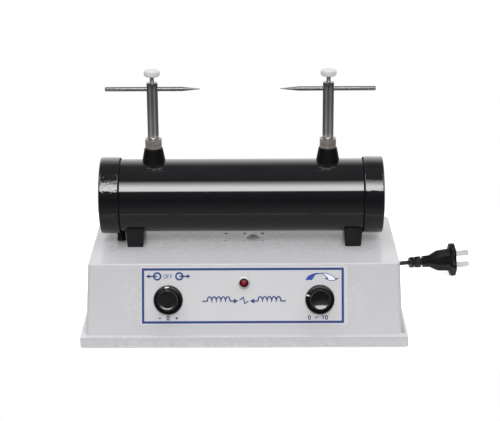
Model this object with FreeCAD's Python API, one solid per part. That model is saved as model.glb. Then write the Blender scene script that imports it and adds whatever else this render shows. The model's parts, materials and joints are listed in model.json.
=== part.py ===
import FreeCAD, Part
import math
import os

# Classroom induction coil: a moulded base with an inclined front panel carries a black
# high-voltage coil on two saddles. Two metal posts on the coil hold sliding pointed rods.
# Frame: +X to the right along the coil, front towards -Y, +Z up, origin on the floor under
# the middle of the base. Millimetres.

V = FreeCAD.Vector
os.makedirs("parts", exist_ok=True)

# Base housing
rim_width = 329.0          # flanged rim at the foot, along X
rim_depth = 185.0          # flanged rim, along Y
rim_bottom = 2.0           # the rim hangs this far above the floor
rim_height = 10.5
rim_corner = 1.5
rim_inner_corner = 1.0
body_width = 318.0         # body at its foot, along X
deck_width = 314.0         # body at the deck, along X
front_ledge = 6.6          # rim showing in front of the panel
back_ledge = 5.3
panel_setback = 22.8       # how far the front panel leans back over its height
back_setback = 2.5
deck_height = 80.0         # top of the deck above the floor
body_corner = 4.0
deck_edge_round = 1.8
rim_edge_round = 0.5
wall = 2.5

# Bottom plate, feet and their screws
plate_thickness = 1.5
plate_play = 0.5
foot_height = 4.0
foot_radius = 7.5
foot_taper = 1.0
foot_inset_x = 18.5        # foot centre from the rim's edge
foot_inset_y = 28.5
boss_radius = 4.6
screw_radius = 1.6
screw_head_radius = 3.2
screw_head_height = 1.5
screw_head_depth = 2.4     # depth of the foot's counterbore
screw_bite = 11.0
hole_play = 0.2
slot_length = 34.0
slot_width = 4.0
slot_pitch_x = 44.0
slot_pitch_y = 44.0

# Front panel: positions are across (X) and up along the panel from its foot
label_width = 208.0
label_height = 59.0
label_centre_up = 39.1
label_thickness = 0.25
label_corner = 2.0
knob_spacing = 152.4       # between the two knob centres
knob_up = 35.0
lamp_up = 52.0

# Knobs and what they turn
skirt_radius = 14.75
skirt_height = 3.2
skirt_draft = 0.9
grip_foot_radius = 11.4
grip_top_radius = 9.6
knob_height = 14.6
dish_radius = 8.6
dish_depth = 2.5
knob_gap = 0.6             # knob's underside above the label
knob_recess_radius = 8.4
knob_recess_height = 6.6
flute_count = 18
flute_radius = 0.85
spindle_radius = 3.0
spindle_play = 0.05
spindle_insert = 4.2       # how far the spindle enters the knob beyond the recess
bushing_radius = 4.75
bushing_reach = 5.4        # bushing beyond the panel's outer face
nut_flats = 13.0
nut_thickness = 2.4
switch_radius = 14.0
switch_length = 19.0
pot_radius = 12.0
pot_length = 10.5

# Indicator lamp
bezel_radius = 5.85
bezel_height = 2.6
bezel_neck_radius = 4.7
bezel_neck_length = 9.0
lens_radius = 4.5
lens_rise = 2.2
lens_edge = 0.8
lens_seat = 0.9
lamp_nut_flats = 11.5
lamp_nut_thickness = 2.0
lamp_holder_length = 16.0

# Coil: a plastic tube closed by two end caps
coil_x = -2.4              # the tube sits a little left of the base's middle
coil_back = 102.8          # coil axis behind the rim's front edge
tube_radius = 37.5
tube_wall = 3.0
tube_clear = 11.4          # underside of the tube above the deck
coil_length = 291.4
cap_radius = 39.7
cap_length = 20.5
cap_end = 2.6
cap_play = 0.1
cap_round = 1.6

# Saddles under the coil
saddle_spacing = 225.7
saddle_foot_width = 16.4
saddle_top_width = 19.6
saddle_depth = 46.2
saddle_lip = 1.0           # lip above the line where the tube leaves the saddle
saddle_corner = 2.0
saddle_screw_spread = 28.0
saddle_screw_length = 9.0

# Inside the coil
core_radius = 9.0
core_length = 250.0
primary_thickness = 3.4
primary_length = 196.0
sleeve_thickness = 3.0
sleeve_length = 232.0
bobbin_length = 150.0
bobbin_tube = 1.6
bobbin_flange = 2.5
bobbin_sections = 5
winding_radius = 29.5
fit_gap = 0.2
disc_thickness = 6.0
disc_place = 112.0
wire_radius = 1.1
secondary_lead_rise = 18.0   # where the secondary's leads start above the axis
secondary_lead_step = 6.0
secondary_lead_climb = 1.0
primary_lead_spread = 1.3    # half the distance between the two primary leads
primary_lead_drop = 14.0     # how far the leads go straight down below the deck
primary_lead_reach = 14.0
primary_lead_high = 22.0     # above the circuit board
primary_lead_low = 16.0
primary_lead_inset = 8.0     # from the circuit board's left edge
primary_lead_fan = 4.0

# Posts on the coil
post_spacing = 179.3
post_shift = -0.75         # the two posts sit this far off the coil's middle
post_radius = 5.65
post_length = 59.9
post_chamfer = 0.6
nut_recess = 1.0
nut_recess_radius = 6.25
post_nut_flats = 16.3
post_nut_height = 10.0
insulator_height = 13.9    # above the tube's crown
insulator_top_radius = 9.2
insulator_foot_radius = 12.3
insulator_skirt = 6.0
stud_radius = 4.0
inner_nut_flats = 13.0
inner_nut_height = 6.5
stud_beyond_nut = 1.5

# Discharge rods and thumbscrews
rod_radius = 2.25
rod_inner = 49.0           # pointed end from the post's axis
rod_outer = 48.0
rod_taper = 18.5
rod_tip_radius = 0.35
rod_below_top = 6.9        # rod axis below the post's top
rod_play = 0.05
thumb_radius = 8.15
thumb_height = 6.4
thumb_lift = 6.4           # underside of the head above the post
thumb_round = 1.6
scallop_count = 16
scallop_radius = 1.0
clamp_radius = 2.4
clamp_play = 0.06
clamp_tip_gap = 0.3
clamp_in_head = 3.6

# Deck: vents, plated screw, lead sleeve
vent_radius = 1.7
vent_pitch_x = 19.3
vent_pitch_y = 22.6
vent_columns = 3
vent_rows = 2
vent_front = -3.8          # first row from the coil axis
deck_screw_x = 9.6
deck_screw_back = 7.2
deck_screw_radius = 7.1
deck_screw_rise = 3.4
deck_screw_edge = 0.9
deck_screw_shank = 2.0
deck_screw_length = 15.0
sleeve_x = -126.3          # lead sleeve from the tube's middle
lead_sleeve_radius = 4.9
lead_sleeve_bore = 3.0

# Electronics
board_width = 170.0
board_depth = 96.0
board_thickness = 1.6
board_y = 12.0
spacer_height = 10.0
spacer_radius = 3.5
spacer_inset = 6.0
board_screw_radius = 1.5
board_screw_head_radius = 2.6
board_screw_head_height = 1.3
board_screw_bite = 6.0     # depth of the screw in its spacer
spacer_floor = 2.5
capacitor_radius = 11.0
capacitor_height = 34.0
capacitor_pitch = 28.0
capacitor_x = 48.0
sink_width = 46.0
sink_height = 34.0
sink_depth = 27.0
sink_thickness = 2.5

# Mains cord, gland and plug
cord_radius = 2.3
gland_x = 112.9
gland_height = 22.0
gland_flange_radius = 7.4
gland_flange_height = 3.0
gland_neck_radius = 6.0
gland_boot_length = 19.8
gland_boot_radius = 5.4
gland_boot_end = 3.7
gland_ring_height = 2.0
gland_ring_grip = 0.8
gland_ribs = 4
gland_groove = 0.9
coil_turns = 7.75
coil_mean_radius = 27.0
coil_layer_gap = 0.55
cord_lift = 0.05           # coil's underside above the floor
cord_coil_y = 178.0
plug_start = V(183.5, 102.0, 19.2)
plug_heading = V(51.3, 12.4, -0.8)
plug_lean = 15.0           # degrees, top leaning away from the front
plug_length = 52.8
plug_core_radius = 4.0
rib_height = 12.0          # across the ribs of the plug's tail
rib_depth = 10.0
rib_ends = [(0.0, 4.4), (6.1, 12.6), (15.4, 23.4)]
rib_growth = 0.6           # each rib is this much larger than the one before
shoulder_end = 32.6
body_height = 22.4         # plug body behind its face, across the two pins
body_depth = 14.0
body_growth = 2.4
flange_back = 46.2
flange_slope = 2.0
flange_height = 36.0
flange_depth = 19.0
flange_flat = 21.0         # height over which the flange has its full depth
flange_tip = 7.0           # depth of the flange at its two ends
bevel_share = 0.3          # bevel of the plug's long corners, against its height
bevel_depth = 0.34
pin_width = 6.3
pin_thickness = 1.5
pin_length = 18.0
pin_tip = 1.5              # corner cut at the pin's end
pin_spacing = 12.7

# Derived places
rim_top = rim_bottom + rim_height
front_foot = -rim_depth / 2 + front_ledge
back_foot = rim_depth / 2 - back_ledge
panel_rise = deck_height - rim_top
panel_lean = math.degrees(math.atan2(panel_setback, panel_rise))
plate_top = foot_height + plate_thickness
foot_x = rim_width / 2 - foot_inset_x
foot_y = rim_depth / 2 - foot_inset_y
deck_under = deck_height - wall
coil_y = -rim_depth / 2 + coil_back
coil_z = deck_height + tube_clear + tube_radius
tube_bore = tube_radius - tube_wall
tube_crown = coil_z + tube_radius
half_coil = coil_length / 2
seat_z = tube_crown + insulator_height
post_nut_top = seat_z + post_nut_height
post_foot = post_nut_top - nut_recess
post_top = post_foot + post_length
rod_z = post_top - rod_below_top
thumb_z = post_top + thumb_lift
back_lean = math.degrees(math.atan2(back_setback, panel_rise))


def cylinder(radius, length, base, axis=V(0, 0, 1)):
    return Part.makeCylinder(radius, length, base, axis)


def block(x0, x1, y0, y1, z0, z1):
    return Part.makeBox(x1 - x0, y1 - y0, z1 - z0, V(x0, y0, z0))


def rounded_rectangle(x0, x1, y0, y1, corner, z):
    """Closed wire of a rectangle with round corners at height z."""
    diag = corner * (1 - math.sqrt(0.5))
    edges = [
        Part.LineSegment(V(x0 + corner, y0, z), V(x1 - corner, y0, z)),
        Part.Arc(V(x1 - corner, y0, z), V(x1 - diag, y0 + diag, z), V(x1, y0 + corner, z)),
        Part.LineSegment(V(x1, y0 + corner, z), V(x1, y1 - corner, z)),
        Part.Arc(V(x1, y1 - corner, z), V(x1 - diag, y1 - diag, z), V(x1 - corner, y1, z)),
        Part.LineSegment(V(x1 - corner, y1, z), V(x0 + corner, y1, z)),
        Part.Arc(V(x0 + corner, y1, z), V(x0 + diag, y1 - diag, z), V(x0, y1 - corner, z)),
        Part.LineSegment(V(x0, y1 - corner, z), V(x0, y0 + corner, z)),
        Part.Arc(V(x0, y0 + corner, z), V(x0 + diag, y0 + diag, z), V(x0 + corner, y0, z)),
    ]
    return Part.Wire([edge.toShape() for edge in edges])


def rounded_block(x0, x1, y0, y1, corner, z0, z1):
    face = Part.Face(rounded_rectangle(x0, x1, y0, y1, corner, z0))
    return face.extrude(V(0, 0, z1 - z0))


def tapered_block(foot, top):
    return Part.makeLoft([foot, top], True, True)


def hexagon(flats, height, base, turn=0.0):
    """Hexagonal prism; with turn 0 a corner points along X."""
    reach = flats / math.sqrt(3)
    points = []
    for i in range(7):
        angle = math.radians(60 * i + turn)
        points.append(base + V(reach * math.cos(angle), reach * math.sin(angle), 0))
    return Part.Face(Part.makePolygon(points)).extrude(V(0, 0, height))


def chamfered_nut(flats, height, bore, base, turn=0.0):
    """Hexagon nut whose corners are turned down by a 30 degree cone at both faces."""
    reach = flats / math.sqrt(3)
    flat = flats / 2
    drop = (reach - flat) * math.tan(math.radians(30)) + 0.2
    profile = Part.makePolygon([
        V(0, 0, 0), V(flat, 0, 0), V(reach + 0.2, 0, drop), V(reach + 0.2, 0, height - drop),
        V(flat, 0, height), V(0, 0, height), V(0, 0, 0)])
    turned = Part.Face(profile).revolve(V(0, 0, 0), V(0, 0, 1), 360)
    turned.translate(base)
    nut = hexagon(flats, height, base, turn).common(turned)
    return nut.cut(cylinder(bore, height, base))


def turned(points, arcs=()):
    """Solid of revolution about Z of a profile given as (radius, height) points.
    An arc entry (i, radius, height) bends the edge from point i through that point."""
    bends = {i: V(r, 0, z) for i, r, z in arcs}
    edges = []
    for i, start in enumerate(points):
        end = points[(i + 1) % len(points)]
        a, b = V(start[0], 0, start[1]), V(end[0], 0, end[1])
        if i in bends:
            edges.append(Part.Arc(a, bends[i], b).toShape())
        else:
            edges.append(Part.LineSegment(a, b).toShape())
    return Part.Face(Part.Wire(edges)).revolve(V(0, 0, 0), V(0, 0, 1), 360)


def dome_point(radius, rise, share):
    """Height above the rim of a spherical cap, at a share of its radius."""
    sphere = (radius ** 2 + rise ** 2) / (2 * rise)
    return math.sqrt(sphere ** 2 - (radius * share) ** 2) - (sphere - rise)


def along_x(shape, origin):
    """Turn a shape made about Z so that its axis runs along +X from origin."""
    shape.rotate(V(0, 0, 0), V(0, 1, 0), 90)
    shape.translate(origin)
    return shape


def on_panel(shape, across=0.0, up=0.0, out=0.0):
    """Move a shape made about Z on to the front panel, Z becoming the outward normal."""
    shape.translate(V(across, up, out))
    shape.rotate(V(0, 0, 0), V(1, 0, 0), 90 - panel_lean)
    shape.translate(V(0, front_foot, rim_top))
    return shape


def on_back(shape, across, height):
    """Move a shape made about Z on to the back wall, Z becoming the outward normal."""
    shape.rotate(V(0, 0, 0), V(1, 0, 0), back_lean - 90)
    wall_y = back_foot - back_setback * (height - rim_top) / panel_rise
    shape.translate(V(across, wall_y, height))
    return shape


def fused(shapes):
    result = shapes[0]
    for shape in shapes[1:]:
        result = result.fuse(shape)
    return result.removeSplitter()


def save(name, shape):
    shape.exportStep("parts/" + name + ".step")
    box = shape.BoundBox
    count = len(shape.Solids)
    print(f"{name:22s} solids {count:2d} valid {shape.isValid()} volume {shape.Volume:10.1f}  "
          f"x {box.XMin:7.2f} {box.XMax:7.2f} y {box.YMin:7.2f} {box.YMax:7.2f} "
          f"z {box.ZMin:7.2f} {box.ZMax:7.2f}")


def group(shapes):
    return Part.makeCompound(shapes)


def body_section(z, inset):
    """Outline of the tapering body at height z, drawn in by a wall's thickness."""
    share = (z - rim_top) / panel_rise
    half = (body_width + (deck_width - body_width) * share) / 2 - inset
    front = front_foot + panel_setback * share + inset / math.cos(math.radians(panel_lean))
    back = back_foot - back_setback * share - inset
    corner = max(body_corner - inset * 0.6, 0.8)
    return rounded_rectangle(-half, half, front, back, corner, z)


# Moulded housing: one plastic shell with a flanged rim, drafted sides and a leaning front.
def outer_body():
    body = tapered_block(body_section(rim_top - wall, 0), body_section(deck_height, 0))
    rounded = [e for e in body.Edges if min(v.Z for v in e.Vertexes) > deck_height - 0.01]
    body = body.makeFillet(deck_edge_round, rounded)
    half_x, half_y = rim_width / 2, rim_depth / 2
    rim = rounded_block(-half_x, half_x, -half_y, half_y, rim_corner, rim_bottom, rim_top)
    upper = [e for e in rim.Edges if min(v.Z for v in e.Vertexes) > rim_top - 0.01]
    rim = rim.makeFillet(rim_edge_round, upper)
    return body.fuse(rim)


def boss_places():
    return [V(sx * foot_x, sy * foot_y, 0) for sx in (-1, 1) for sy in (-1, 1)]


def vent_places():
    places = []
    for row in range(vent_rows):
        for column in range(vent_columns):
            x = (column - (vent_columns - 1) / 2) * vent_pitch_x
            places.append(V(x, coil_y + vent_front + row * vent_pitch_y, deck_under))
    return places


def saddle_screw_places():
    half = saddle_screw_spread / 2
    return [V(sx * saddle_spacing / 2, coil_y + sy * half, deck_under)
            for sx in (-1, 1) for sy in (-1, 1)]


def housing():
    half_x, half_y = rim_width / 2 - wall, rim_depth / 2 - wall
    rim_hollow = rounded_block(-half_x, half_x, -half_y, half_y, rim_inner_corner,
                               rim_bottom, rim_top - wall)
    body_hollow = tapered_block(body_section(rim_top - wall, wall), body_section(deck_under, wall))
    shell = outer_body().cut(rim_hollow).cut(body_hollow)
    bosses = []
    for place in boss_places():
        foot = place + V(0, 0, plate_top)
        boss = cylinder(boss_radius, deck_under + wall / 2 - plate_top, foot)
        bosses.append(boss.common(body_envelope))
    shell = fused([shell] + bosses)
    cuts = []
    for place in boss_places():
        cuts.append(cylinder(screw_radius - 0.15, screw_bite, place + V(0, 0, plate_top)))
    for place in vent_places():
        cuts.append(cylinder(vent_radius, wall, place))
    for place in saddle_screw_places():
        cuts.append(cylinder(screw_radius + hole_play, wall, place))
    screw_place = V(deck_screw_x, coil_y + deck_screw_back, deck_under)
    cuts.append(cylinder(deck_screw_shank + hole_play, wall, screw_place))
    cuts.append(cylinder(lead_sleeve_bore, wall, V(coil_x + sleeve_x, coil_y, deck_under)))
    for side in (-1, 1):
        hole = cylinder(bushing_radius + hole_play, wall * 3, V(0, 0, -wall * 2))
        cuts.append(on_panel(hole, side * knob_spacing / 2, knob_up))
    lamp_hole = cylinder(bezel_neck_radius + hole_play, wall * 3, V(0, 0, -wall * 2))
    cuts.append(on_panel(lamp_hole, 0, lamp_up))
    gland_hole = cylinder(gland_neck_radius + hole_play, wall * 3, V(0, 0, -wall * 2))
    cuts.append(on_back(gland_hole, gland_x, gland_height))
    return shell.cut(cuts)


def bottom_plate():
    half_x = rim_width / 2 - wall - plate_play
    half_y = rim_depth / 2 - wall - plate_play
    plate = rounded_block(-half_x, half_x, -half_y, half_y, rim_inner_corner,
                          foot_height, plate_top)
    cuts = [cylinder(screw_radius + hole_play, plate_thickness, p + V(0, 0, foot_height))
            for p in boss_places()]
    for column in range(-2, 3):
        for row in (-1, 1):
            x, y = column * slot_pitch_x, row * slot_pitch_y
            cuts.append(rounded_block(x - slot_length / 2, x + slot_length / 2,
                                      y - slot_width / 2, y + slot_width / 2,
                                      slot_width / 2 - 0.05, foot_height, plate_top))
    return plate.cut(cuts)


def rubber_feet():
    feet = []
    for place in boss_places():
        foot = turned([(0, 0), (foot_radius - foot_taper, 0), (foot_radius, foot_height),
                       (0, foot_height)])
        foot = foot.cut(cylinder(screw_radius + hole_play, foot_height, V(0, 0, 0)))
        foot = foot.cut(cylinder(screw_head_radius + 0.5, screw_head_depth, V(0, 0, 0)))
        foot.translate(place)
        feet.append(foot)
    return group(feet)


def pan_screw(head_radius, head_height, shank_radius, length):
    """Pan-head screw about Z: head under the origin plane, shank above it."""
    return turned([(0, -head_height), (head_radius * 0.7, -head_height),
                   (head_radius, -head_height * 0.35), (head_radius, 0), (shank_radius, 0),
                   (shank_radius, length - shank_radius * 0.8), (shank_radius * 0.3, length),
                   (0, length)])


def bottom_screws():
    screws = []
    for place in boss_places():
        screw = pan_screw(screw_head_radius, screw_head_height, screw_radius - 0.2,
                          plate_top - screw_head_depth + screw_bite - 1)
        screw.translate(place + V(0, 0, screw_head_depth))
        screws.append(screw)
    return group(screws)


# Printed film on the panel, with holes for the knob bushings and the lamp.
def panel_label():
    half_w, half_h = label_width / 2, label_height / 2
    film = rounded_block(-half_w, half_w, label_centre_up - half_h, label_centre_up + half_h,
                         label_corner, 0, label_thickness)
    cuts = [cylinder(bushing_radius + hole_play, label_thickness,
                     V(side * knob_spacing / 2, knob_up, 0)) for side in (-1, 1)]
    cuts.append(cylinder(bezel_neck_radius + hole_play, label_thickness, V(0, lamp_up, 0)))
    return on_panel(film.cut(cuts))


# Lamp: plated ring with a neck through the panel, domed red lens, holder and nut behind.
def lamp_bezel():
    ring = turned([(lens_radius + fit_gap, label_thickness + lens_seat),
                   (lens_radius + fit_gap, label_thickness + bezel_height),
                   (bezel_radius, label_thickness + 1.0), (bezel_radius, label_thickness),
                   (bezel_neck_radius, label_thickness), (bezel_neck_radius, -bezel_neck_length),
                   (lens_radius - 0.8, -bezel_neck_length),
                   (lens_radius - 0.8, label_thickness + lens_seat)],
                  arcs=[(1, bezel_radius - 0.35, label_thickness + bezel_height - 0.35)])
    return on_panel(ring, 0, lamp_up)


def lamp_lens():
    seat = label_thickness + lens_seat
    dome = lens_rise - lens_edge
    lens = turned([(0, seat), (lens_radius, seat), (lens_radius, seat + lens_edge),
                   (0, seat + lens_rise)],
                  arcs=[(2, lens_radius / 2, seat + lens_edge + dome_point(lens_radius, dome, 0.5))])
    return on_panel(lens, 0, lamp_up)


def lamp_holder():
    nut = chamfered_nut(lamp_nut_flats, lamp_nut_thickness, bezel_neck_radius + 0.02,
                        V(0, 0, -wall - lamp_nut_thickness))
    tail = turned([(0, -bezel_neck_length - lamp_holder_length),
                   (bezel_neck_radius - 0.6, -bezel_neck_length - lamp_holder_length),
                   (bezel_neck_radius, -bezel_neck_length - lamp_holder_length + 1.0),
                   (bezel_neck_radius, -bezel_neck_length), (0, -bezel_neck_length)])
    return on_panel(group([nut, tail]), 0, lamp_up)


# Moulded knob: skirt, tapering fluted grip and a dished face, hollow underneath.
def knob_shape():
    dish_mid = knob_height - dome_point(dish_radius, dish_depth, 0.5)
    body = turned([(0, knob_recess_height), (knob_recess_radius, knob_recess_height),
                   (knob_recess_radius, 0), (skirt_radius, 0), (skirt_radius, 1.0),
                   (skirt_radius - skirt_draft, skirt_height), (grip_foot_radius, skirt_height + 0.5),
                   (grip_top_radius, knob_height - 0.7), (grip_top_radius - 0.7, knob_height),
                   (dish_radius, knob_height), (0, knob_height - dish_depth)],
                  arcs=[(9, dish_radius / 2, dish_mid)])
    lean = math.degrees(math.atan2(grip_foot_radius - grip_top_radius,
                                   knob_height - skirt_height))
    flutes = []
    for i in range(flute_count):
        cutter = cylinder(flute_radius, knob_height, V(0, 0, skirt_height + 1.2))
        cutter.rotate(V(0, 0, skirt_height + 1.2), V(0, 1, 0), -lean)
        cutter.translate(V(grip_foot_radius + flute_radius * 0.45, 0, 0))
        cutter.rotate(V(0, 0, 0), V(0, 0, 1), (i + 0.5) * 360 / flute_count)
        flutes.append(cutter)
    body = body.cut(flutes)
    socket = cylinder(spindle_radius + spindle_play, spindle_insert, V(0, 0, knob_recess_height))
    return body.cut(socket)


knob_under = label_thickness + knob_gap


def knob(side):
    return on_panel(knob_shape(), side * knob_spacing / 2, knob_up, knob_under)


def spindle(side, reach_behind):
    top = knob_under + knob_recess_height + spindle_insert
    rod = cylinder(spindle_radius, reach_behind + top, V(0, 0, -reach_behind))
    return on_panel(rod, side * knob_spacing / 2, knob_up)


def panel_control(side, radius, length, terminals):
    """Switch or potentiometer: can behind the panel, bushing through it, solder terminals."""
    can = cylinder(radius, length, V(0, 0, -wall - length))
    bushing = cylinder(bushing_radius, wall + bushing_reach, V(0, 0, -wall))
    tags = []
    for i in range(terminals):
        tag = block(-1.0, 1.0, -radius - 5, -radius + 1, -wall - length * 0.6 - 0.4,
                    -wall - length * 0.6 + 0.4)
        tag.rotate(V(0, 0, 0), V(0, 0, 1), (i - (terminals - 1) / 2) * 32)
        tags.append(tag)
    shape = fused([can, bushing] + tags)
    bore = cylinder(spindle_radius + spindle_play, length + wall + bushing_reach,
                    V(0, 0, -wall - length + 3))
    return on_panel(shape.cut(bore), side * knob_spacing / 2, knob_up)


def control_nut(side):
    nut = chamfered_nut(nut_flats, nut_thickness, bushing_radius + 0.02, V(0, 0, label_thickness))
    return on_panel(nut, side * knob_spacing / 2, knob_up)


# Saddles: black mouldings that widen upwards and cradle the tube, screwed from below.
def saddle(side):
    x = side * saddle_spacing / 2
    half_y = saddle_depth / 2
    top = coil_z - math.sqrt(tube_radius ** 2 - half_y ** 2) + saddle_lip
    foot = rounded_rectangle(x - saddle_foot_width / 2, x + saddle_foot_width / 2,
                             coil_y - half_y, coil_y + half_y, saddle_corner, deck_height)
    head = rounded_rectangle(x - saddle_top_width / 2, x + saddle_top_width / 2,
                             coil_y - half_y, coil_y + half_y, saddle_corner, top)
    cradle = tapered_block(foot, head)
    reach = saddle_top_width
    cradle = cradle.cut(cylinder(tube_radius, reach * 2, V(x - reach, coil_y, coil_z), V(1, 0, 0)))
    for place in saddle_screw_places():
        if place.x * side > 0:
            hole = cylinder(screw_radius - 0.15, saddle_screw_length, V(place.x, place.y, deck_height))
            cradle = cradle.cut(hole)
    return cradle


def saddle_screws():
    screws = []
    for place in saddle_screw_places():
        screw = pan_screw(screw_head_radius, screw_head_height, screw_radius - 0.2,
                          wall + saddle_screw_length - 1)
        screw.translate(place)
        screws.append(screw)
    return group(screws)


def post_x(side):
    return coil_x + post_shift + side * post_spacing / 2


# Coil tube with holes for the two studs on top and for the primary lead underneath.
def coil_tube():
    half = half_coil - cap_end - cap_play
    start = V(coil_x - half, coil_y, coil_z)
    tube = cylinder(tube_radius, half * 2, start, V(1, 0, 0))
    tube = tube.cut(cylinder(tube_bore, half * 2, start, V(1, 0, 0)))
    for side in (-1, 1):
        tube = tube.cut(cylinder(stud_radius + hole_play, tube_wall * 3,
                                 V(post_x(side), coil_y, tube_crown - tube_wall * 2)))
    lead_hole = cylinder(lead_sleeve_bore, tube_radius,
                         V(coil_x + sleeve_x, coil_y, coil_z - tube_radius - 5))
    return tube.cut(lead_hole)


def end_cap(side):
    bore = tube_radius + cap_play
    lip = cap_length - cap_end
    cap = turned([(0, 0), (cap_radius - cap_round, 0), (cap_radius, cap_round),
                  (cap_radius, cap_length - 0.4), (cap_radius - 0.4, cap_length),
                  (bore, cap_length), (bore, cap_length - lip), (0, cap_end)],
                 arcs=[(1, cap_radius - cap_round * 0.293, cap_round * 0.293)])
    if side > 0:
        cap.rotate(V(0, 0, 0), V(1, 0, 0), 180)
    cap = along_x(cap, V(coil_x + side * half_coil, coil_y, coil_z))
    if side < 0:
        cap = cap.cut(cylinder(lead_sleeve_bore, cap_radius,
                               V(coil_x + sleeve_x, coil_y, coil_z - cap_radius - 5)))
    return cap


def ring_about_coil(inner, outer, start, length):
    ring = cylinder(outer, length, V(coil_x + start, coil_y, coil_z), V(1, 0, 0))
    if inner > 0:
        ring = ring.cut(cylinder(inner, length, V(coil_x + start, coil_y, coil_z), V(1, 0, 0)))
    return ring


primary_inner = core_radius + fit_gap
primary_outer = primary_inner + primary_thickness
sleeve_inner = primary_outer + fit_gap
sleeve_outer = sleeve_inner + sleeve_thickness
bobbin_inner = sleeve_outer + fit_gap
bobbin_outer = bobbin_inner + bobbin_tube


def iron_core():
    return ring_about_coil(0, core_radius, -core_length / 2, core_length)


def primary_winding():
    return ring_about_coil(primary_inner, primary_outer, -primary_length / 2, primary_length)


def insulating_sleeve():
    return ring_about_coil(sleeve_inner, sleeve_outer, -sleeve_length / 2, sleeve_length)


def section_pitch():
    return (bobbin_length - bobbin_flange) / bobbin_sections


def secondary_bobbin():
    parts = [ring_about_coil(bobbin_inner, bobbin_outer, -bobbin_length / 2, bobbin_length)]
    for i in range(bobbin_sections + 1):
        start = -bobbin_length / 2 + i * section_pitch()
        parts.append(ring_about_coil(bobbin_inner, tube_bore - fit_gap, start, bobbin_flange))
    return fused(parts)


def secondary_winding():
    rings = []
    for i in range(bobbin_sections):
        start = -bobbin_length / 2 + i * section_pitch() + bobbin_flange + fit_gap
        rings.append(ring_about_coil(bobbin_outer + fit_gap, winding_radius, start,
                                     section_pitch() - bobbin_flange - 2 * fit_gap))
    return group(rings)


def coil_end_discs():
    discs = []
    for side in (-1, 1):
        start = side * disc_place - disc_thickness / 2
        discs.append(ring_about_coil(sleeve_outer + 0.05, tube_bore - 0.1, start, disc_thickness))
    return group(discs)


# Insulator: a cone whose foot is hollowed to the tube, topped by a nut and the post.
def insulator(side):
    foot = tube_crown - insulator_skirt
    wide = tube_crown - 1.0
    cone = turned([(0, foot), (insulator_foot_radius, foot), (insulator_foot_radius, wide),
                   (insulator_top_radius + 0.3, seat_z - 0.6), (insulator_top_radius - 0.3, seat_z),
                   (0, seat_z)])
    cone.translate(V(post_x(side), coil_y, 0))
    cone = cone.cut(cylinder(tube_radius, 60, V(post_x(side) - 30, coil_y, coil_z), V(1, 0, 0)))
    return cone.cut(cylinder(stud_radius + hole_play, 30, V(post_x(side), coil_y, foot - 1)))


def post_nut(side):
    nut = chamfered_nut(post_nut_flats, post_nut_height, stud_radius + 0.02,
                        V(post_x(side), coil_y, seat_z), 90)
    return nut.cut(cylinder(nut_recess_radius, nut_recess, V(post_x(side), coil_y, post_foot)))


inner_nut_top = coil_z + math.sqrt(tube_bore ** 2 - (inner_nut_flats / math.sqrt(3)) ** 2) - 0.1


def post(side):
    end = inner_nut_top - inner_nut_height - stud_beyond_nut
    shape = turned([(0, end), (stud_radius - 0.6, end), (stud_radius, end + 0.6),
                    (stud_radius, post_foot), (post_radius - post_chamfer, post_foot),
                    (post_radius, post_foot + post_chamfer), (post_radius, post_top - post_chamfer),
                    (post_radius - post_chamfer, post_top), (0, post_top)])
    clamp_hole = cylinder(clamp_radius + clamp_play, rod_below_top + 1, V(0, 0, rod_z))
    rod_hole = cylinder(rod_radius + rod_play, post_radius * 4, V(-post_radius * 2, 0, rod_z),
                        V(1, 0, 0))
    shape = shape.cut(clamp_hole).cut(rod_hole)
    shape.translate(V(post_x(side), coil_y, 0))
    return shape


def post_inner_nuts():
    nuts = []
    for side in (-1, 1):
        nuts.append(chamfered_nut(inner_nut_flats, inner_nut_height, stud_radius + 0.02,
                                  V(post_x(side), coil_y, inner_nut_top - inner_nut_height)))
    return group(nuts)


# Pointed rod: the outer end is rounded, the inner end tapers to a fine tip.
def rod(side):
    length = rod_inner + rod_outer
    shape = turned([(0, 0), (rod_radius - 0.8, 0), (rod_radius, 0.8),
                    (rod_radius, length - rod_taper), (rod_tip_radius, length - 0.2),
                    (0, length)],
                   arcs=[(1, rod_radius - 0.8 * 0.293, 0.8 * 0.293)])
    if side > 0:
        shape.rotate(V(0, 0, 0), V(1, 0, 0), 180)
    return along_x(shape, V(post_x(side) + side * rod_outer, coil_y, rod_z))


# Thumbscrew: a scalloped plastic head moulded on a metal stud that clamps the rod.
def thumb_head(side):
    r, h, c = thumb_radius, thumb_height, thumb_round
    head = turned([(0, 0), (r - c, 0), (r, c), (r, h - c), (r - c, h), (r - 3.2, h),
                   (r - 3.8, h - 0.5), (0, h - 0.5)],
                  arcs=[(1, r - c * 0.293, c * 0.293), (3, r - c * 0.293, h - c * 0.293)])
    notches = []
    for i in range(scallop_count):
        angle = math.radians(i * 360 / scallop_count)
        reach = r + scallop_radius * 0.45
        notches.append(cylinder(scallop_radius, h + 2,
                                V(reach * math.cos(angle), reach * math.sin(angle), -1)))
    head = head.cut(notches)
    head = head.cut(cylinder(clamp_radius + 0.02, clamp_in_head, V(0, 0, 0)))
    head.translate(V(post_x(side), coil_y, thumb_z))
    return head


def clamp_stud(side):
    foot = rod_z + rod_radius + clamp_tip_gap
    top = thumb_z + clamp_in_head
    stud = turned([(0, foot), (clamp_radius - 0.6, foot), (clamp_radius, foot + 0.6),
                   (clamp_radius, top), (0, top)])
    stud.translate(V(post_x(side), coil_y, 0))
    return stud


def deck_screw():
    r, h = deck_screw_radius, deck_screw_rise
    screw = turned([(0, -deck_screw_length), (deck_screw_shank, -deck_screw_length),
                    (deck_screw_shank, 0), (r, 0), (r, deck_screw_edge), (0, h)],
                   arcs=[(4, r / 2, deck_screw_edge + dome_point(r, h - deck_screw_edge, 0.5))])
    screw = screw.cut(block(-r, r, -0.6, 0.6, h - 1.0, h + 1))
    screw.translate(V(deck_screw_x, coil_y + deck_screw_back, deck_height))
    return screw


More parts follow.
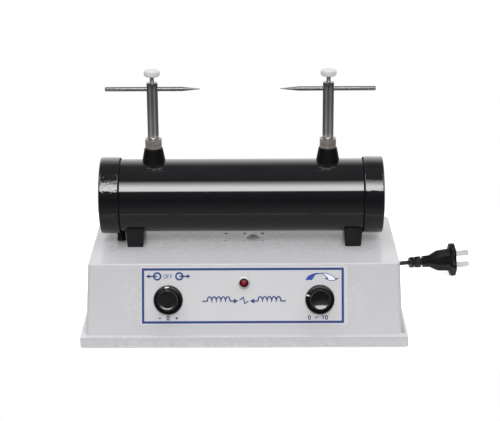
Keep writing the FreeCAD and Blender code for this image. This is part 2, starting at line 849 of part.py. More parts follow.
sink_top = deck_under
nut_under_sink = sink_top - sink_thickness


def deck_screw_nut():
    return chamfered_nut(7.0, 3.2, deck_screw_shank + 0.02,
                         V(deck_screw_x, coil_y + deck_screw_back, nut_under_sink - 3.2))


# Heat sink: an aluminium angle held under the deck, with the thyristor on its hanging leg.
def heat_sink():
    y = coil_y + deck_screw_back
    x0 = deck_screw_x - sink_width / 2
    flange = block(x0, x0 + sink_width, y - 8, y + sink_depth - 8, nut_under_sink, sink_top)
    leg = block(x0, x0 + sink_width, y + sink_depth - 8 - sink_thickness, y + sink_depth - 8,
                sink_top - sink_height, sink_top)
    angle = flange.fuse(leg).removeSplitter()
    for place in vent_places():
        angle = angle.cut(cylinder(vent_radius + 1.0, sink_thickness * 3,
                                   V(place.x, place.y, nut_under_sink - sink_thickness)))
    return angle.cut(cylinder(deck_screw_shank + hole_play, 10,
                              V(deck_screw_x, y, nut_under_sink - 2)))


def thyristor():
    face = coil_y + deck_screw_back + sink_depth - 8 - sink_thickness
    x = deck_screw_x
    z = sink_top - sink_height + 4
    case = block(x - 5, x + 5, face - 4.5, face, z, z + 15)
    legs = [block(x + i * 2.54 - 0.4, x + i * 2.54 + 0.4, face - 2.5, face - 2.0, z - 10, z)
            for i in (-1, 0, 1)]
    return fused([case] + legs)


# Lead sleeve: soft black sleeve between the deck and the left cap, round the primary leads.
def lead_sleeve():
    x = coil_x + sleeve_x
    sleeve = cylinder(lead_sleeve_radius, tube_clear + 6, V(x, coil_y, deck_height))
    sleeve = sleeve.cut(cylinder(cap_radius, 60, V(x - 30, coil_y, coil_z), V(1, 0, 0)))
    return sleeve.cut(cylinder(lead_sleeve_bore, 40, V(x, coil_y, deck_height - 1)))


board_z = plate_top + spacer_height


def spacer_places():
    half_x, half_y = board_width / 2 - spacer_inset, board_depth / 2 - spacer_inset
    return [V(sx * half_x, board_y + sy * half_y, plate_top) for sx in (-1, 1) for sy in (-1, 1)]


def circuit_board():
    board = block(-board_width / 2, board_width / 2, board_y - board_depth / 2,
                  board_y + board_depth / 2, board_z, board_z + board_thickness)
    cuts = [cylinder(board_screw_radius + hole_play, 8, V(p.x, p.y, board_z - 1))
            for p in spacer_places()]
    return board.cut(cuts)


def board_spacers():
    spacers = []
    for place in spacer_places():
        spacer = cylinder(spacer_radius, spacer_height, place)
        spacers.append(spacer.cut(cylinder(board_screw_radius, spacer_height,
                                           place + V(0, 0, spacer_floor))))
    return group(spacers)


def board_screws():
    screws = []
    for place in spacer_places():
        screw = pan_screw(board_screw_head_radius, board_screw_head_height,
                          board_screw_radius - hole_play / 2, board_thickness + board_screw_bite)
        screw.rotate(V(0, 0, 0), V(1, 0, 0), 180)
        screw.translate(V(place.x, place.y, board_z + board_thickness))
        screws.append(screw)
    return group(screws)


def storage_capacitors():
    cans = []
    top = board_z + board_thickness
    for i in range(2):
        can = turned([(0, 0), (capacitor_radius, 0), (capacitor_radius, capacitor_height - 1),
                      (capacitor_radius - 1, capacitor_height), (0, capacitor_height)])
        can.translate(V(capacitor_x, board_y + (i - 0.5) * capacitor_pitch, top))
        cans.append(can)
    return group(cans)


def arc_through(start, tangent, end):
    """Arc from start, leaving along tangent, to end."""
    chord = end - start
    span = chord.Length
    cosine = max(-1.0, min(1.0, tangent.dot(chord) / span))
    if cosine > 1 - 1e-12:
        return Part.LineSegment(start, end).toShape()
    corner = start + tangent * (span / (2 * cosine))
    middle = (start + end) * 0.5
    away = corner - middle
    away.normalize()
    half_turn = math.acos(cosine)
    return Part.Arc(start, middle + away * (span / 2 * math.tan(half_turn / 2)), end).toShape()


def biarc(p0, t0, p1, t1):
    """Two arcs from p0 along t0 to p1 along t1."""
    v = p1 - p0
    t = t0 + t1
    a = 2 * (1 - t0.dot(t1))
    vt = v.dot(t)
    vv = v.dot(v)
    if a < 1e-9:
        d = vv / (4 * v.dot(t1))
    else:
        d = (-vt + math.sqrt(vt * vt + a * vv)) / a
    joint = (p0 + p1 + (t0 - t1) * d) * 0.5
    middle = joint - (p0 + t0 * d)
    middle.normalize()
    return [arc_through(p0, t0, joint), arc_through(joint, middle, p1)]


def route_edges(points):
    """Straight runs joined by tangent arcs, each as large as its two runs allow."""
    edges, radii = [], []
    last = points[0]
    for i in range(1, len(points) - 1):
        before, here, after = points[i - 1], points[i], points[i + 1]
        a, b = here - before, after - here
        run = min(a.Length, b.Length)
        a.normalize()
        b.normalize()
        half = math.acos(max(-1.0, min(1.0, a.dot(b)))) / 2
        trim = 0.45 * run
        radii.append(trim / math.tan(half))
        start, end = here - a * trim, here + b * trim
        edges.append(Part.LineSegment(last, start).toShape())
        edges.append(arc_through(start, a, end))
        last = end
    edges.append(Part.LineSegment(last, points[-1]).toShape())
    return edges, radii


def tube_along(name, edges, radius, radii=()):
    """Round tube along tangent edges, with its volume set against section times length."""
    wire = Part.Wire(edges)
    start = edges[0]
    heading = start.tangentAt(start.FirstParameter)
    circle = Part.Wire(Part.makeCircle(radius, start.valueAt(start.FirstParameter), heading))
    solid = wire.makePipeShell([circle], True, False)
    expected = math.pi * radius ** 2 * wire.Length
    tightest = min(radii) / (2 * radius) if radii else 0
    print(f"{name}: length {wire.Length:.1f} volume/expected {solid.Volume / expected:.5f} "
          f"radii {[round(r, 1) for r in radii]} tightest {tightest:.1f} diameters")
    return solid


# High-voltage leads from the winding's ends to the studs.
def high_voltage_leads():
    leads = []
    stud_end = inner_nut_top - inner_nut_height - stud_beyond_nut
    for side in (-1, 1):
        flange_x = coil_x + side * (bobbin_length / 2)
        x = post_x(side)
        top = stud_end - fit_gap
        start_z = coil_z + secondary_lead_rise
        points = [V(flange_x + side * fit_gap, coil_y, start_z),
                  V(flange_x + side * secondary_lead_step, coil_y, start_z),
                  V(x, coil_y, start_z + secondary_lead_climb), V(x, coil_y, top)]
        edges, _ = route_edges(points)
        leads.append(tube_along("high_voltage_lead", edges, wire_radius))
    return group(leads)


# Primary leads from the winding's left end, down through the sleeve to the circuit board.
def primary_leads():
    leads = []
    x = coil_x + sleeve_x
    layer = coil_z - primary_outer + primary_thickness / 2
    end_x = -board_width / 2 + primary_lead_inset
    for offset in (-primary_lead_spread, primary_lead_spread):
        end_y = board_y + offset * primary_lead_fan
        points = [V(coil_x - primary_length / 2 - fit_gap, coil_y + offset, layer),
                  V(x, coil_y + offset, layer),
                  V(x, coil_y + offset, deck_height - primary_lead_drop),
                  V(x + primary_lead_reach, end_y, board_z + primary_lead_high),
                  V(end_x, end_y, board_z + primary_lead_low),
                  V(end_x, end_y, board_z + board_thickness)]
        edges, _ = route_edges(points)
        leads.append(tube_along("primary_lead", edges, wire_radius))
    return group(leads)


# Gland in the back wall: flange, neck through the wall, lock ring inside, ribbed boot.
gland_reach = gland_flange_height + gland_boot_length


def cord_gland():
    ring = gland_neck_radius + gland_ring_grip
    points = [(0, -wall - gland_ring_height), (ring - 0.6, -wall - gland_ring_height),
              (ring, -wall), (gland_neck_radius, -wall), (gland_neck_radius, 0),
              (gland_flange_radius, 0), (gland_flange_radius, gland_flange_height - 0.8),
              (gland_flange_radius - 0.8, gland_flange_height),
              (gland_boot_radius, gland_flange_height)]
    pitch = gland_boot_length / gland_ribs
    drop = (gland_boot_radius - gland_boot_end) / gland_ribs
    for i in range(gland_ribs):
        foot = gland_flange_height + i * pitch
        radius = gland_boot_radius - (i + 0.6) * drop
        groove = gland_boot_radius - gland_groove - i * drop
        points += [(radius, foot + pitch * 0.62), (groove, foot + pitch * 0.66),
                   (groove, foot + pitch * 0.94), (radius - 0.4 * drop, foot + pitch)]
    points[-1] = (gland_boot_end, gland_reach)
    points.append((0, gland_reach))
    return on_back(turned(points), gland_x, gland_height)


cord_pitch = 2 * cord_radius + coil_layer_gap
coil_outer = coil_mean_radius + cord_pitch * coil_turns / 4
coil_inner = coil_mean_radius - cord_pitch * coil_turns / 4
gland_mouth = on_back(Part.Vertex(0, 0, gland_reach), gland_x, gland_height).Point
cord_coil_centre = V(gland_x - coil_outer, cord_coil_y, cord_lift)


def coil_point(turn):
    """Point of the put-away coil's centre line after this many turns: in, up and out."""
    middle = coil_turns / 2
    apart = turn - middle
    bend = 0.25
    if abs(apart) < bend:
        reach = apart * apart / (2 * bend) + bend / 2
    else:
        reach = abs(apart)
    radius = coil_inner + cord_pitch * reach
    rise = min(max((apart + bend) / (2 * bend), 0), 1)
    rise = rise * rise * (3 - 2 * rise)
    angle = 2 * math.pi * turn
    return cord_coil_centre + V(radius * math.cos(angle), radius * math.sin(angle),
                                cord_radius + rise * cord_pitch)


def coil_heading(turn):
    step = 1e-4
    heading = coil_point(turn + step) - coil_point(turn - step)
    heading.normalize()
    return heading


coil_start_heading = coil_heading(0)
coil_end_heading = coil_heading(coil_turns)
coil_entry = coil_point(0) - coil_start_heading * (2 * cord_radius)
coil_exit = coil_point(coil_turns) + coil_end_heading * (2 * cord_radius)


def cord_coil():
    edges = [Part.LineSegment(coil_entry, coil_point(0)).toShape()]
    quarters = round(coil_turns * 4)
    for i in range(quarters):
        a, b = coil_turns * i / quarters, coil_turns * (i + 1) / quarters
        edges += biarc(coil_point(a), coil_heading(a), coil_point(b), coil_heading(b))
    edges.append(Part.LineSegment(coil_point(coil_turns), coil_exit).toShape())
    samples = []
    for edge in edges:
        count = max(2, int(edge.Length / 1.5))
        samples += [V(p) for p in edge.discretize(count)[:-1]]
    skip = 14
    least = min((samples[i] - samples[j]).Length
                for i in range(len(samples)) for j in range(i + skip, len(samples)))
    print(f"cord_coil: least gap to itself {least - 2 * cord_radius:.3f}")
    return tube_along("cord_coil", edges, cord_radius)


# Route of the lead from the gland down to the coil, and of the tail from the coil to the plug.
gland_heading = V(0, math.cos(math.radians(back_lean)), math.sin(math.radians(back_lean)))
lead_route = [
    gland_mouth,
    gland_mouth + gland_heading * 10.0,
    V(113.6, 130.5, 20.4),
    V(114.1, 141.5, 13.4),
    V(113.5, 152.8, 6.4),
    coil_entry - coil_start_heading * 9.5,
    coil_entry,
]
plug_axis = V(plug_heading)
plug_axis.normalize()
tail_route = [
    coil_exit,
    coil_exit + coil_end_heading * 14.0,
    V(108.5, 137.0, 4.4),
    V(122.0, 128.4, 2.7),
    V(133.5, 117.8, 4.4),
    V(145.5, 106.6, 10.6),
    V(158.6, 100.0, 17.2),
    plug_start - plug_axis * 12.0,
    plug_start,
]


def cord_run(name, route):
    edges, radii = route_edges(route)
    return tube_along(name, edges, cord_radius, radii)


# Plug: ribbed tail, bevelled body that widens to a flanged face, two flat pins in line.
def in_plug_frame(shape):
    """Move a shape made about Z, with X towards the plug's top, to where the plug lies."""
    upright = V(0, 0, 1) - plug_axis * plug_axis.z
    upright.normalize()
    away = upright.cross(plug_axis)
    lean = math.radians(plug_lean)
    top = upright * math.cos(lean) + away * math.sin(lean)
    side = plug_axis.cross(top)
    shape.Placement = FreeCAD.Placement(FreeCAD.Matrix(
        top.x, side.x, plug_axis.x, plug_start.x,
        top.y, side.y, plug_axis.y, plug_start.y,
        top.z, side.z, plug_axis.z, plug_start.z,
        0, 0, 0, 1))
    return shape


def eight_sided(height, depth, cut_x, cut_y, z):
    """Section of the plug: a rectangle with its four corners cut."""
    x, y = height / 2, depth / 2
    corners = [(x, y - cut_y), (x - cut_x, y), (cut_x - x, y), (-x, y - cut_y),
               (-x, cut_y - y), (cut_x - x, -y), (x - cut_x, -y), (x, cut_y - y)]
    return Part.makePolygon([V(a, b, z) for a, b in corners + corners[:1]])


def bevelled(height, depth, z):
    """Section whose corners are cut more along the height."""
    return eight_sided(height, depth, height * bevel_share, depth * bevel_depth, z)


def flange_section(z):
    """The flange is deep in its middle and narrows to its two ends."""
    cut_x, cut_y = (flange_height - flange_flat) / 2, (flange_depth - flange_tip) / 2
    return eight_sided(flange_height, flange_depth, cut_x, cut_y, z)


def between(low, high):
    return Part.makeLoft([low, high], True, True)


def plug_body():
    pieces = [cylinder(plug_core_radius, shoulder_end, V(0, 0, 0))]
    for i, (low, high) in enumerate(rib_ends):
        height, depth = rib_height + i * rib_growth, rib_depth + i * rib_growth
        pieces.append(between(bevelled(height - rib_growth, depth - rib_growth, low),
                              bevelled(height, depth, high)))
    neck_height = rib_height + (len(rib_ends) - 1) * rib_growth
    neck_depth = rib_depth + (len(rib_ends) - 1) * rib_growth
    face_height, face_depth = body_height + body_growth, body_depth + body_growth / 2
    pieces.append(between(bevelled(neck_height, neck_depth, rib_ends[-1][1]),
                          bevelled(body_height, body_depth, shoulder_end)))
    pieces.append(between(bevelled(body_height, body_depth, shoulder_end),
                          bevelled(face_height, face_depth, flange_back)))
    pieces.append(between(bevelled(face_height + 1, face_depth + 1, flange_back),
                          flange_section(flange_back + flange_slope)))
    pieces.append(between(flange_section(flange_back + flange_slope),
                          flange_section(plug_length)))
    return in_plug_frame(fused(pieces))


def plug_pins():
    pins = []
    for side in (-1, 1):
        x, half = side * pin_spacing / 2, pin_width / 2
        tip = plug_length + pin_length
        corners = [(-half, plug_length), (half, plug_length), (half, tip - pin_tip),
                   (half - pin_tip, tip), (pin_tip - half, tip), (-half, tip - pin_tip)]
        outline = Part.makePolygon([V(x + a, 0, z) for a, z in corners + corners[:1]])
        pin = Part.Face(outline).extrude(V(0, pin_thickness, 0))
        pin.translate(V(0, -pin_thickness / 2, 0))
        pins.append(pin)
    return in_plug_frame(group(pins))


body_envelope = outer_body()
pierced_body = housing()

save("housing", pierced_body)
save("bottom_plate", bottom_plate())
save("rubber_feet", rubber_feet())
save("bottom_screws", bottom_screws())
save("panel_label", panel_label())
save("lamp_bezel", lamp_bezel())
save("lamp_lens", lamp_lens())
save("lamp_holder", lamp_holder())
save("polarity_switch", panel_control(-1, switch_radius, switch_length, 4))
save("polarity_switch_nut", control_nut(-1))
save("polarity_knob", knob(-1))
save("polarity_spindle", spindle(-1, switch_length + wall - 4))
save("potentiometer", panel_control(1, pot_radius, pot_length, 3))
save("potentiometer_nut", control_nut(1))
save("voltage_knob", knob(1))
save("voltage_spindle", spindle(1, pot_length + wall - 4))
for side, hand in ((-1, "left"), (1, "right")):
    save(hand + "_saddle", saddle(side))
    save(hand + "_end_cap", end_cap(side))
    save(hand + "_insulator", insulator(side))
    save(hand + "_post_nut", post_nut(side))
    save(hand + "_post", post(side))
    save(hand + "_rod", rod(side))
    save(hand + "_thumbscrew_head", thumb_head(side))
    save(hand + "_thumbscrew_stud", clamp_stud(side))
save("saddle_screws", saddle_screws())
save("coil_tube", coil_tube())
save("iron_core", iron_core())
save("primary_winding", primary_winding())
save("insulating_sleeve", insulating_sleeve())
save("secondary_bobbin", secondary_bobbin())
save("secondary_winding", secondary_winding())
save("coil_end_discs", coil_end_discs())
save("high_voltage_leads", high_voltage_leads())
save("post_inner_nuts", post_inner_nuts())
save("deck_screw", deck_screw())
save("deck_screw_nut", deck_screw_nut())
save("lead_sleeve", lead_sleeve())
save("primary_leads", primary_leads())
save("circuit_board", circuit_board())
save("board_spacers", board_spacers())
save("board_screws", board_screws())
save("storage_capacitors", storage_capacitors())
save("thyristor", thyristor())
save("heat_sink", heat_sink())
save("cord_gland", cord_gland())
save("cord_lead", cord_run("cord_lead", lead_route))
save("cord_coil", cord_coil())
save("cord_tail", cord_run("cord_tail", tail_route))
save("plug_body", plug_body())
save("plug_pins", plug_pins())
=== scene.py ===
import json
import math
import bmesh
import bpy
from mathutils import Matrix, Vector, noise


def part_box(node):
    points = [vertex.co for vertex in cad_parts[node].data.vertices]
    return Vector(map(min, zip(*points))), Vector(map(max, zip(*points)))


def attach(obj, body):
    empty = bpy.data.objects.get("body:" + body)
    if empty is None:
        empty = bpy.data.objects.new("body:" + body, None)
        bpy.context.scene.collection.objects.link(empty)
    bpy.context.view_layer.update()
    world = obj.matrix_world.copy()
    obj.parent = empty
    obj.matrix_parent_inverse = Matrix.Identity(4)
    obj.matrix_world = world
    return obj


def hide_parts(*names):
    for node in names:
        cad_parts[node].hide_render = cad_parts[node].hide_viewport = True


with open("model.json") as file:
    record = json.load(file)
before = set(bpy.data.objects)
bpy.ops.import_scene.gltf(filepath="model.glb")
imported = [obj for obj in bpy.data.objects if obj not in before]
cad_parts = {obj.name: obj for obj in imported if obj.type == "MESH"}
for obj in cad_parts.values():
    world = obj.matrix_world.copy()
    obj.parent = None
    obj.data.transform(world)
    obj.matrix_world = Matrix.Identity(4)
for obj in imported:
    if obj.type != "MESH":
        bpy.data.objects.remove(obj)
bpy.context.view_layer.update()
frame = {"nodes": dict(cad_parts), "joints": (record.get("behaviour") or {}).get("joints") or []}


# Bottom plate: black painted sheet steel with ten cooling slots, punched flat and closed
# against the moulded housing by the four screws of the feet.
def tint(red, green, blue):
    """A colour as it looks on the object, 0 to 255 a channel, as the sockets take it."""
    linear = []
    for value in (red, green, blue):
        share = value / 255
        linear.append(share / 12.92 if share <= 0.04045 else ((share + 0.055) / 1.055) ** 2.4)
    return (*linear, 1.0)


def add_node(tree, kind, inputs=None, **settings):
    """A node with its settings made and its inputs set or wired."""
    made = tree.nodes.new(kind)
    for name, value in settings.items():
        setattr(made, name, value)
    for key, value in (inputs or {}).items():
        if isinstance(value, bpy.types.NodeSocket):
            tree.links.new(value, made.inputs[key])
        else:
            made.inputs[key].default_value = value
    return made


def map_range(tree, value, low, high, to_low, to_high):
    return add_node(tree, "ShaderNodeMapRange",
                    {0: value, 1: low, 2: high, 3: to_low, 4: to_high}).outputs[0]


def calculate(tree, operation, first, *others):
    """The same operation worked along two or more values."""
    for other in others:
        first = add_node(tree, "ShaderNodeMath", {0: first, 1: other}, operation=operation).outputs[0]
    return first


def place_on(tree):
    """Where a point lies on the object, in metres."""
    return add_node(tree, "ShaderNodeTexCoord").outputs["Object"]


def parts_of(tree, vector):
    return add_node(tree, "ShaderNodeSeparateXYZ", {0: vector}).outputs


def cloud(tree, scale, detail, roughness=0.5):
    """Soft noise over the object."""
    return add_node(tree, "ShaderNodeTexNoise", {"Vector": place_on(tree), "Scale": scale, "Detail": detail,
                                                 "Roughness": roughness}).outputs[0]


def mix_colours(tree, share, first, second):
    return add_node(tree, "ShaderNodeMix", {0: share, 6: first, 7: second}, data_type="RGBA").outputs[2]


def vary_tone(tree, colour, change, value, low, high):
    """Darken and lighten a colour by a share as a value goes over its range."""
    tone = map_range(tree, value, low, high, calculate(tree, "SUBTRACT", 1.0, change),
                     calculate(tree, "ADD", 1.0, change))
    return add_node(tree, "ShaderNodeHueSaturation", {"Value": tone, "Color": colour}).outputs[0]


def vary_roughness(tree, roughness, smudge, value, low, high):
    """Lower and raise a roughness by a smudge as a value goes over its range."""
    swing = map_range(tree, value, low, high, -1.0, 1.0)
    return calculate(tree, "ADD", roughness, calculate(tree, "MULTIPLY", swing, smudge))


def start_group(name, inputs, outputs):
    """A shader node group with named sockets: the tree, what comes in and what goes out."""
    tree = bpy.data.node_groups.new(name, "ShaderNodeTree")
    for label, kind, value in inputs:
        socket = tree.interface.new_socket(name=label, in_out="INPUT", socket_type="NodeSocket" + kind)
        socket.default_value = value
    for label, kind in outputs:
        tree.interface.new_socket(name=label, in_out="OUTPUT", socket_type="NodeSocket" + kind)
    return tree, tree.nodes.new("NodeGroupInput").outputs, tree.nodes.new("NodeGroupOutput").inputs


def put_out(tree, result, **values):
    for label, value in values.items():
        tree.links.new(value, result[label])


# Handled surface: slow change of tone, fine grain as height and patches of other roughness.
handled, given, result = start_group(
    "handled surface",
    [("Colour", "Color", (0.5, 0.5, 0.5, 1)), ("Tone Change", "Float", 0.05), ("Patch Scale", "Float", 25.0),
     ("Grain Scale", "Float", 1500.0), ("Grain Height", "Float", 0.01), ("Roughness", "Float", 0.4),
     ("Smudge", "Float", 0.06)],
    [("Colour", "Color"), ("Roughness", "Float"), ("Height", "Float")])
patches = cloud(handled, given["Patch Scale"], 3.0)
smudges = cloud(handled, calculate(handled, "MULTIPLY", given["Patch Scale"], 2.3), 5.0, 0.62)
grain = cloud(handled, given["Grain Scale"], 2.0)
put_out(handled, result,
        Colour=vary_tone(handled, given["Colour"], given["Tone Change"], patches, 0.3, 0.7),
        Roughness=vary_roughness(handled, given["Roughness"], given["Smudge"], smudges, 0.35, 0.7),
        Height=calculate(handled, "MULTIPLY", grain, given["Grain Height"]))

# Worn edges and painted edge highlights: a broken line of another colour along the convex edges.
edge_wear_and_highlight, given, result = start_group(
    "edge wear and highlight",
    [("Colour", "Color", (0.5, 0.5, 0.5, 1)), ("Edge Colour", "Color", (0.7, 0.7, 0.7, 1)),
     ("Amount", "Float", 0.5), ("Start", "Float", 0.52), ("Patch Scale", "Float", 220.0)],
    [("Colour", "Color")])
pointed = add_node(edge_wear_and_highlight, "ShaderNodeNewGeometry").outputs["Pointiness"]
edge = map_range(edge_wear_and_highlight, pointed, given["Start"], calculate(edge_wear_and_highlight, "ADD", given["Start"], 0.06), 0.0, 1.0)
broken = map_range(edge_wear_and_highlight, cloud(edge_wear_and_highlight, given["Patch Scale"], 4.0), 0.4, 0.62, 0.0, 1.0)
edge_cover = calculate(edge_wear_and_highlight, "MULTIPLY", edge, broken, given["Amount"])
put_out(edge_wear_and_highlight, result, Colour=mix_colours(edge_wear_and_highlight, edge_cover, given["Colour"], given["Edge Colour"]))

# Settled dust: thin and patchy on what faces up.
dusty, given, result = start_group(
    "settled dust",
    [("Colour", "Color", (0.5, 0.5, 0.5, 1)), ("Dust Colour", "Color", (0.45, 0.43, 0.4, 1)),
     ("Amount", "Float", 0.1), ("Roughness", "Float", 0.3), ("Patch Scale", "Float", 60.0)],
    [("Colour", "Color"), ("Roughness", "Float")])
facing = parts_of(dusty, add_node(dusty, "ShaderNodeNewGeometry").outputs["Normal"])
lying = map_range(dusty, facing["Z"], 0.55, 1.0, 0.0, 1.0)
motes = map_range(dusty, cloud(dusty, given["Patch Scale"], 8.0, 0.72), 0.42, 0.7, 0.15, 1.0)
cover = calculate(dusty, "MULTIPLY", lying, motes, given["Amount"])
put_out(dusty, result,
        Colour=mix_colours(dusty, cover, given["Colour"], given["Dust Colour"]),
        Roughness=calculate(dusty, "ADD", given["Roughness"], calculate(dusty, "MULTIPLY", cover, 0.6)))

# Tool lines: the fine rings or draw marks that a lathe, brush or die leaves along one direction.
tooled, given, result = start_group(
    "tool lines",
    [("Colour", "Color", (0.5, 0.5, 0.5, 1)), ("Across", "Vector", (0, 0, 1)), ("Line Scale", "Float", 2500.0),
     ("Line Depth", "Float", 0.01), ("Tone Change", "Float", 0.08), ("Roughness", "Float", 0.3),
     ("Smudge", "Float", 0.06)],
    [("Colour", "Color"), ("Roughness", "Float"), ("Height", "Float")])
along = add_node(tooled, "ShaderNodeVectorMath", {0: place_on(tooled), 1: given["Across"]},
                 operation="DOT_PRODUCT").outputs["Value"]
lines = add_node(tooled, "ShaderNodeTexNoise", {"W": along, "Scale": given["Line Scale"], "Detail": 3.0},
                 noise_dimensions="1D").outputs[0]
patches = cloud(tooled, 90.0, 4.0)
both = calculate(tooled, "ADD", calculate(tooled, "MULTIPLY", lines, 0.6),
                 calculate(tooled, "MULTIPLY", patches, 0.4))
put_out(tooled, result,
        Colour=vary_tone(tooled, given["Colour"], given["Tone Change"], both, 0.35, 0.65),
        Roughness=vary_roughness(tooled, given["Roughness"], given["Smudge"], patches, 0.3, 0.7),
        Height=calculate(tooled, "MULTIPLY", lines, given["Line Depth"]))


def group_in(material, tree, values):
    """A node group placed in a material with its own values: what it puts out."""
    return add_node(material.node_tree, "ShaderNodeGroup", values, node_tree=tree).outputs


def shader_of(material):
    return material.node_tree.nodes["Principled BSDF"]


def blank_finish(name, **plain):
    """An empty node material, with the shader's values that are the same all over."""
    material = bpy.data.materials.new(name)
    material.use_nodes = True
    for label, value in plain.items():
        shader_of(material).inputs[label.replace("_", " ")].default_value = value
    return material


def feed(material, **values):
    """Wire what nodes work out to a material's shader."""
    for label, value in values.items():
        material.node_tree.links.new(value, shader_of(material).inputs[label.replace("_", " ")])


def coat(material, colour, roughness, height):
    """Feed a shader its colour, roughness and a height in millimetres."""
    bump = add_node(material.node_tree, "ShaderNodeBump",
                    {"Height": height, "Distance": 0.001, "Strength": 1.0})
    feed(material, Base_Color=colour, Roughness=roughness, Normal=bump.outputs[0])


def moulded(name, colour, roughness, tone=0.04, grain=0.006, grain_scale=1500.0, smudge=0.05, patch=25.0,
            dust=0.0, edge=None, edge_amount=0.4, **plain):
    """A moulded or painted surface: handling, grain, edge wear with painted edge highlights, and dust."""
    material = blank_finish(name, **plain)
    skin = group_in(material, handled, {"Colour": colour, "Tone Change": tone, "Grain Height": grain,
                                        "Grain Scale": grain_scale, "Roughness": roughness,
                                        "Smudge": smudge, "Patch Scale": patch})
    shown, rough = skin["Colour"], skin["Roughness"]
    if edge is not None:
        shown = group_in(material, edge_wear_and_highlight, {"Colour": shown, "Edge Colour": edge,
                                          "Amount": edge_amount})["Colour"]
    if dust > 0:
        settled = group_in(material, dusty, {"Colour": shown, "Roughness": rough, "Amount": dust})
        shown, rough = settled["Colour"], settled["Roughness"]
    coat(material, shown, rough, skin["Height"])
    return material


def machined(name, colour, roughness, across=(0, 0, 1), tone=0.08, depth=0.004, line_scale=2500.0,
             smudge=0.05, edge=None, metallic=1.0):
    """A turned, drawn or brushed metal surface with its tool lines."""
    material = blank_finish(name, Metallic=metallic)
    skin = group_in(material, tooled, {"Colour": colour, "Across": across, "Line Scale": line_scale,
                                       "Line Depth": depth, "Tone Change": tone, "Roughness": roughness,
                                       "Smudge": smudge})
    shown = skin["Colour"]
    if edge is not None:
        shown = group_in(material, edge_wear_and_highlight, {"Colour": shown, "Edge Colour": edge, "Amount": 0.6})["Colour"]
    coat(material, shown, skin["Roughness"], skin["Height"])
    return material


def height_share(material, low, high, to_low, to_high):
    """A value that changes over a range of heights, in millimetres from the floor."""
    tree = material.node_tree
    return map_range(tree, parts_of(tree, place_on(tree))["Z"], low * 0.001, high * 0.001, to_low, to_high)


def tone_by(material, factor):
    """Make a finished material lighter or darker by a factor that its own nodes work out."""
    shown = shader_of(material).inputs["Base Color"].links[0].from_socket
    toned = add_node(material.node_tree, "ShaderNodeHueSaturation", {"Value": factor, "Color": shown})
    feed(material, Base_Color=toned.outputs[0])


def dress(material, *nodes):
    """Give CAD nodes their material."""
    for node in nodes:
        piece = frame["nodes"][node]
        if not piece.material_slots:
            piece.data.materials.append(material)
        for slot in piece.material_slots:
            slot.material = material


plate_paint = moulded("black plate paint", tint(52, 52, 54), 0.45, grain=0.02, grain_scale=900.0, dust=0.1,
                      edge=tint(120, 118, 115))
dress(plate_paint, "bottom_plate")


# Rubber feet: four turned feet with a deep screw hole, moulded in black rubber and held under
# the plate's corners by the housing screws.
def ring_of(bm, height, steps, reach, middle=(0, 0)):
    """A level ring of vertices, its radius worked out from the angle, or one vertex at a pole."""
    ring = []
    for i in range(steps if reach(0) > 1e-6 else 1):
        angle = 2 * math.pi * i / steps
        x, y = reach(angle) * math.cos(angle), reach(angle) * math.sin(angle)
        ring.append(bm.verts.new((middle[0] + x, middle[1] + y, height)))
    return ring


def join_rings(bm, rings, steps):
    """Faces from each ring to the next, narrowed to triangles at a pole."""
    for low, high in zip(rings, rings[1:]):
        for i in range(steps):
            j = (i + 1) % steps
            corners = []
            for corner in (low[i % len(low)], low[j % len(low)], high[j % len(high)], high[i % len(high)]):
                if corner not in corners:
                    corners.append(corner)
            if len(corners) > 2:
                bm.faces.new(corners)
    return bm


def lathe(profile, steps=96):
    """Mesh turned about Z from (radius, height) points in millimetres, closed in itself."""
    bm = bmesh.new()
    rings = [ring_of(bm, height, steps, lambda angle: radius) for radius, height in profile]
    return join_rings(bm, rings + rings[:1], steps)


def put(bm, matrix):
    bmesh.ops.transform(bm, matrix=matrix, verts=bm.verts)
    return bm


def add_object(name, data):
    made = bpy.data.objects.new(name, data)
    bpy.context.scene.collection.objects.link(made)
    return made


def mesh_object(name, bm, material, sharp):
    """An object from a mesh in metres, smooth but for its sharp edges."""
    mesh = bpy.data.meshes.new(name)
    bm.to_mesh(mesh)
    bm.free()
    mesh.materials.append(material)
    mesh.shade_smooth()
    mesh.set_sharp_from_angle(angle=math.radians(sharp))
    return add_object(name, mesh)


def make_piece(name, bm, material, sharp=32.0):
    """A finished object from a mesh in millimetres, its doubles merged and its faces outwards."""
    bmesh.ops.remove_doubles(bm, verts=bm.verts, dist=1e-4)
    bmesh.ops.recalc_face_normals(bm, faces=bm.faces)
    return mesh_object(name, put(bm, Matrix.Scale(0.001, 4)), material, sharp)


def soften(piece, width, segments=2):
    """Round the edges of a piece by a width in millimetres."""
    bevel = piece.modifiers.new("round edges", "BEVEL")
    bevel.width = width * 0.001
    bevel.segments = segments
    bevel.limit_method = "ANGLE"
    bevel.angle_limit = math.radians(30.0)
    bevel.harden_normals = True
    bevel.use_clamp_overlap = True
    return piece


def plain_mesh(piece):
    """Turn what a piece's modifiers give into its own mesh and take the modifiers off."""
    graph = bpy.context.evaluated_depsgraph_get()
    mesh = bpy.data.meshes.new_from_object(piece.evaluated_get(graph), depsgraph=graph)
    piece.modifiers.clear()
    piece.data = mesh
    return piece


def fix(piece, body, slot, *nodes):
    """Let a piece ride on a body and stand for CAD nodes, which it hides. The finish slot is not used."""
    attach(piece, body)
    if nodes:
        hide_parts(*nodes)


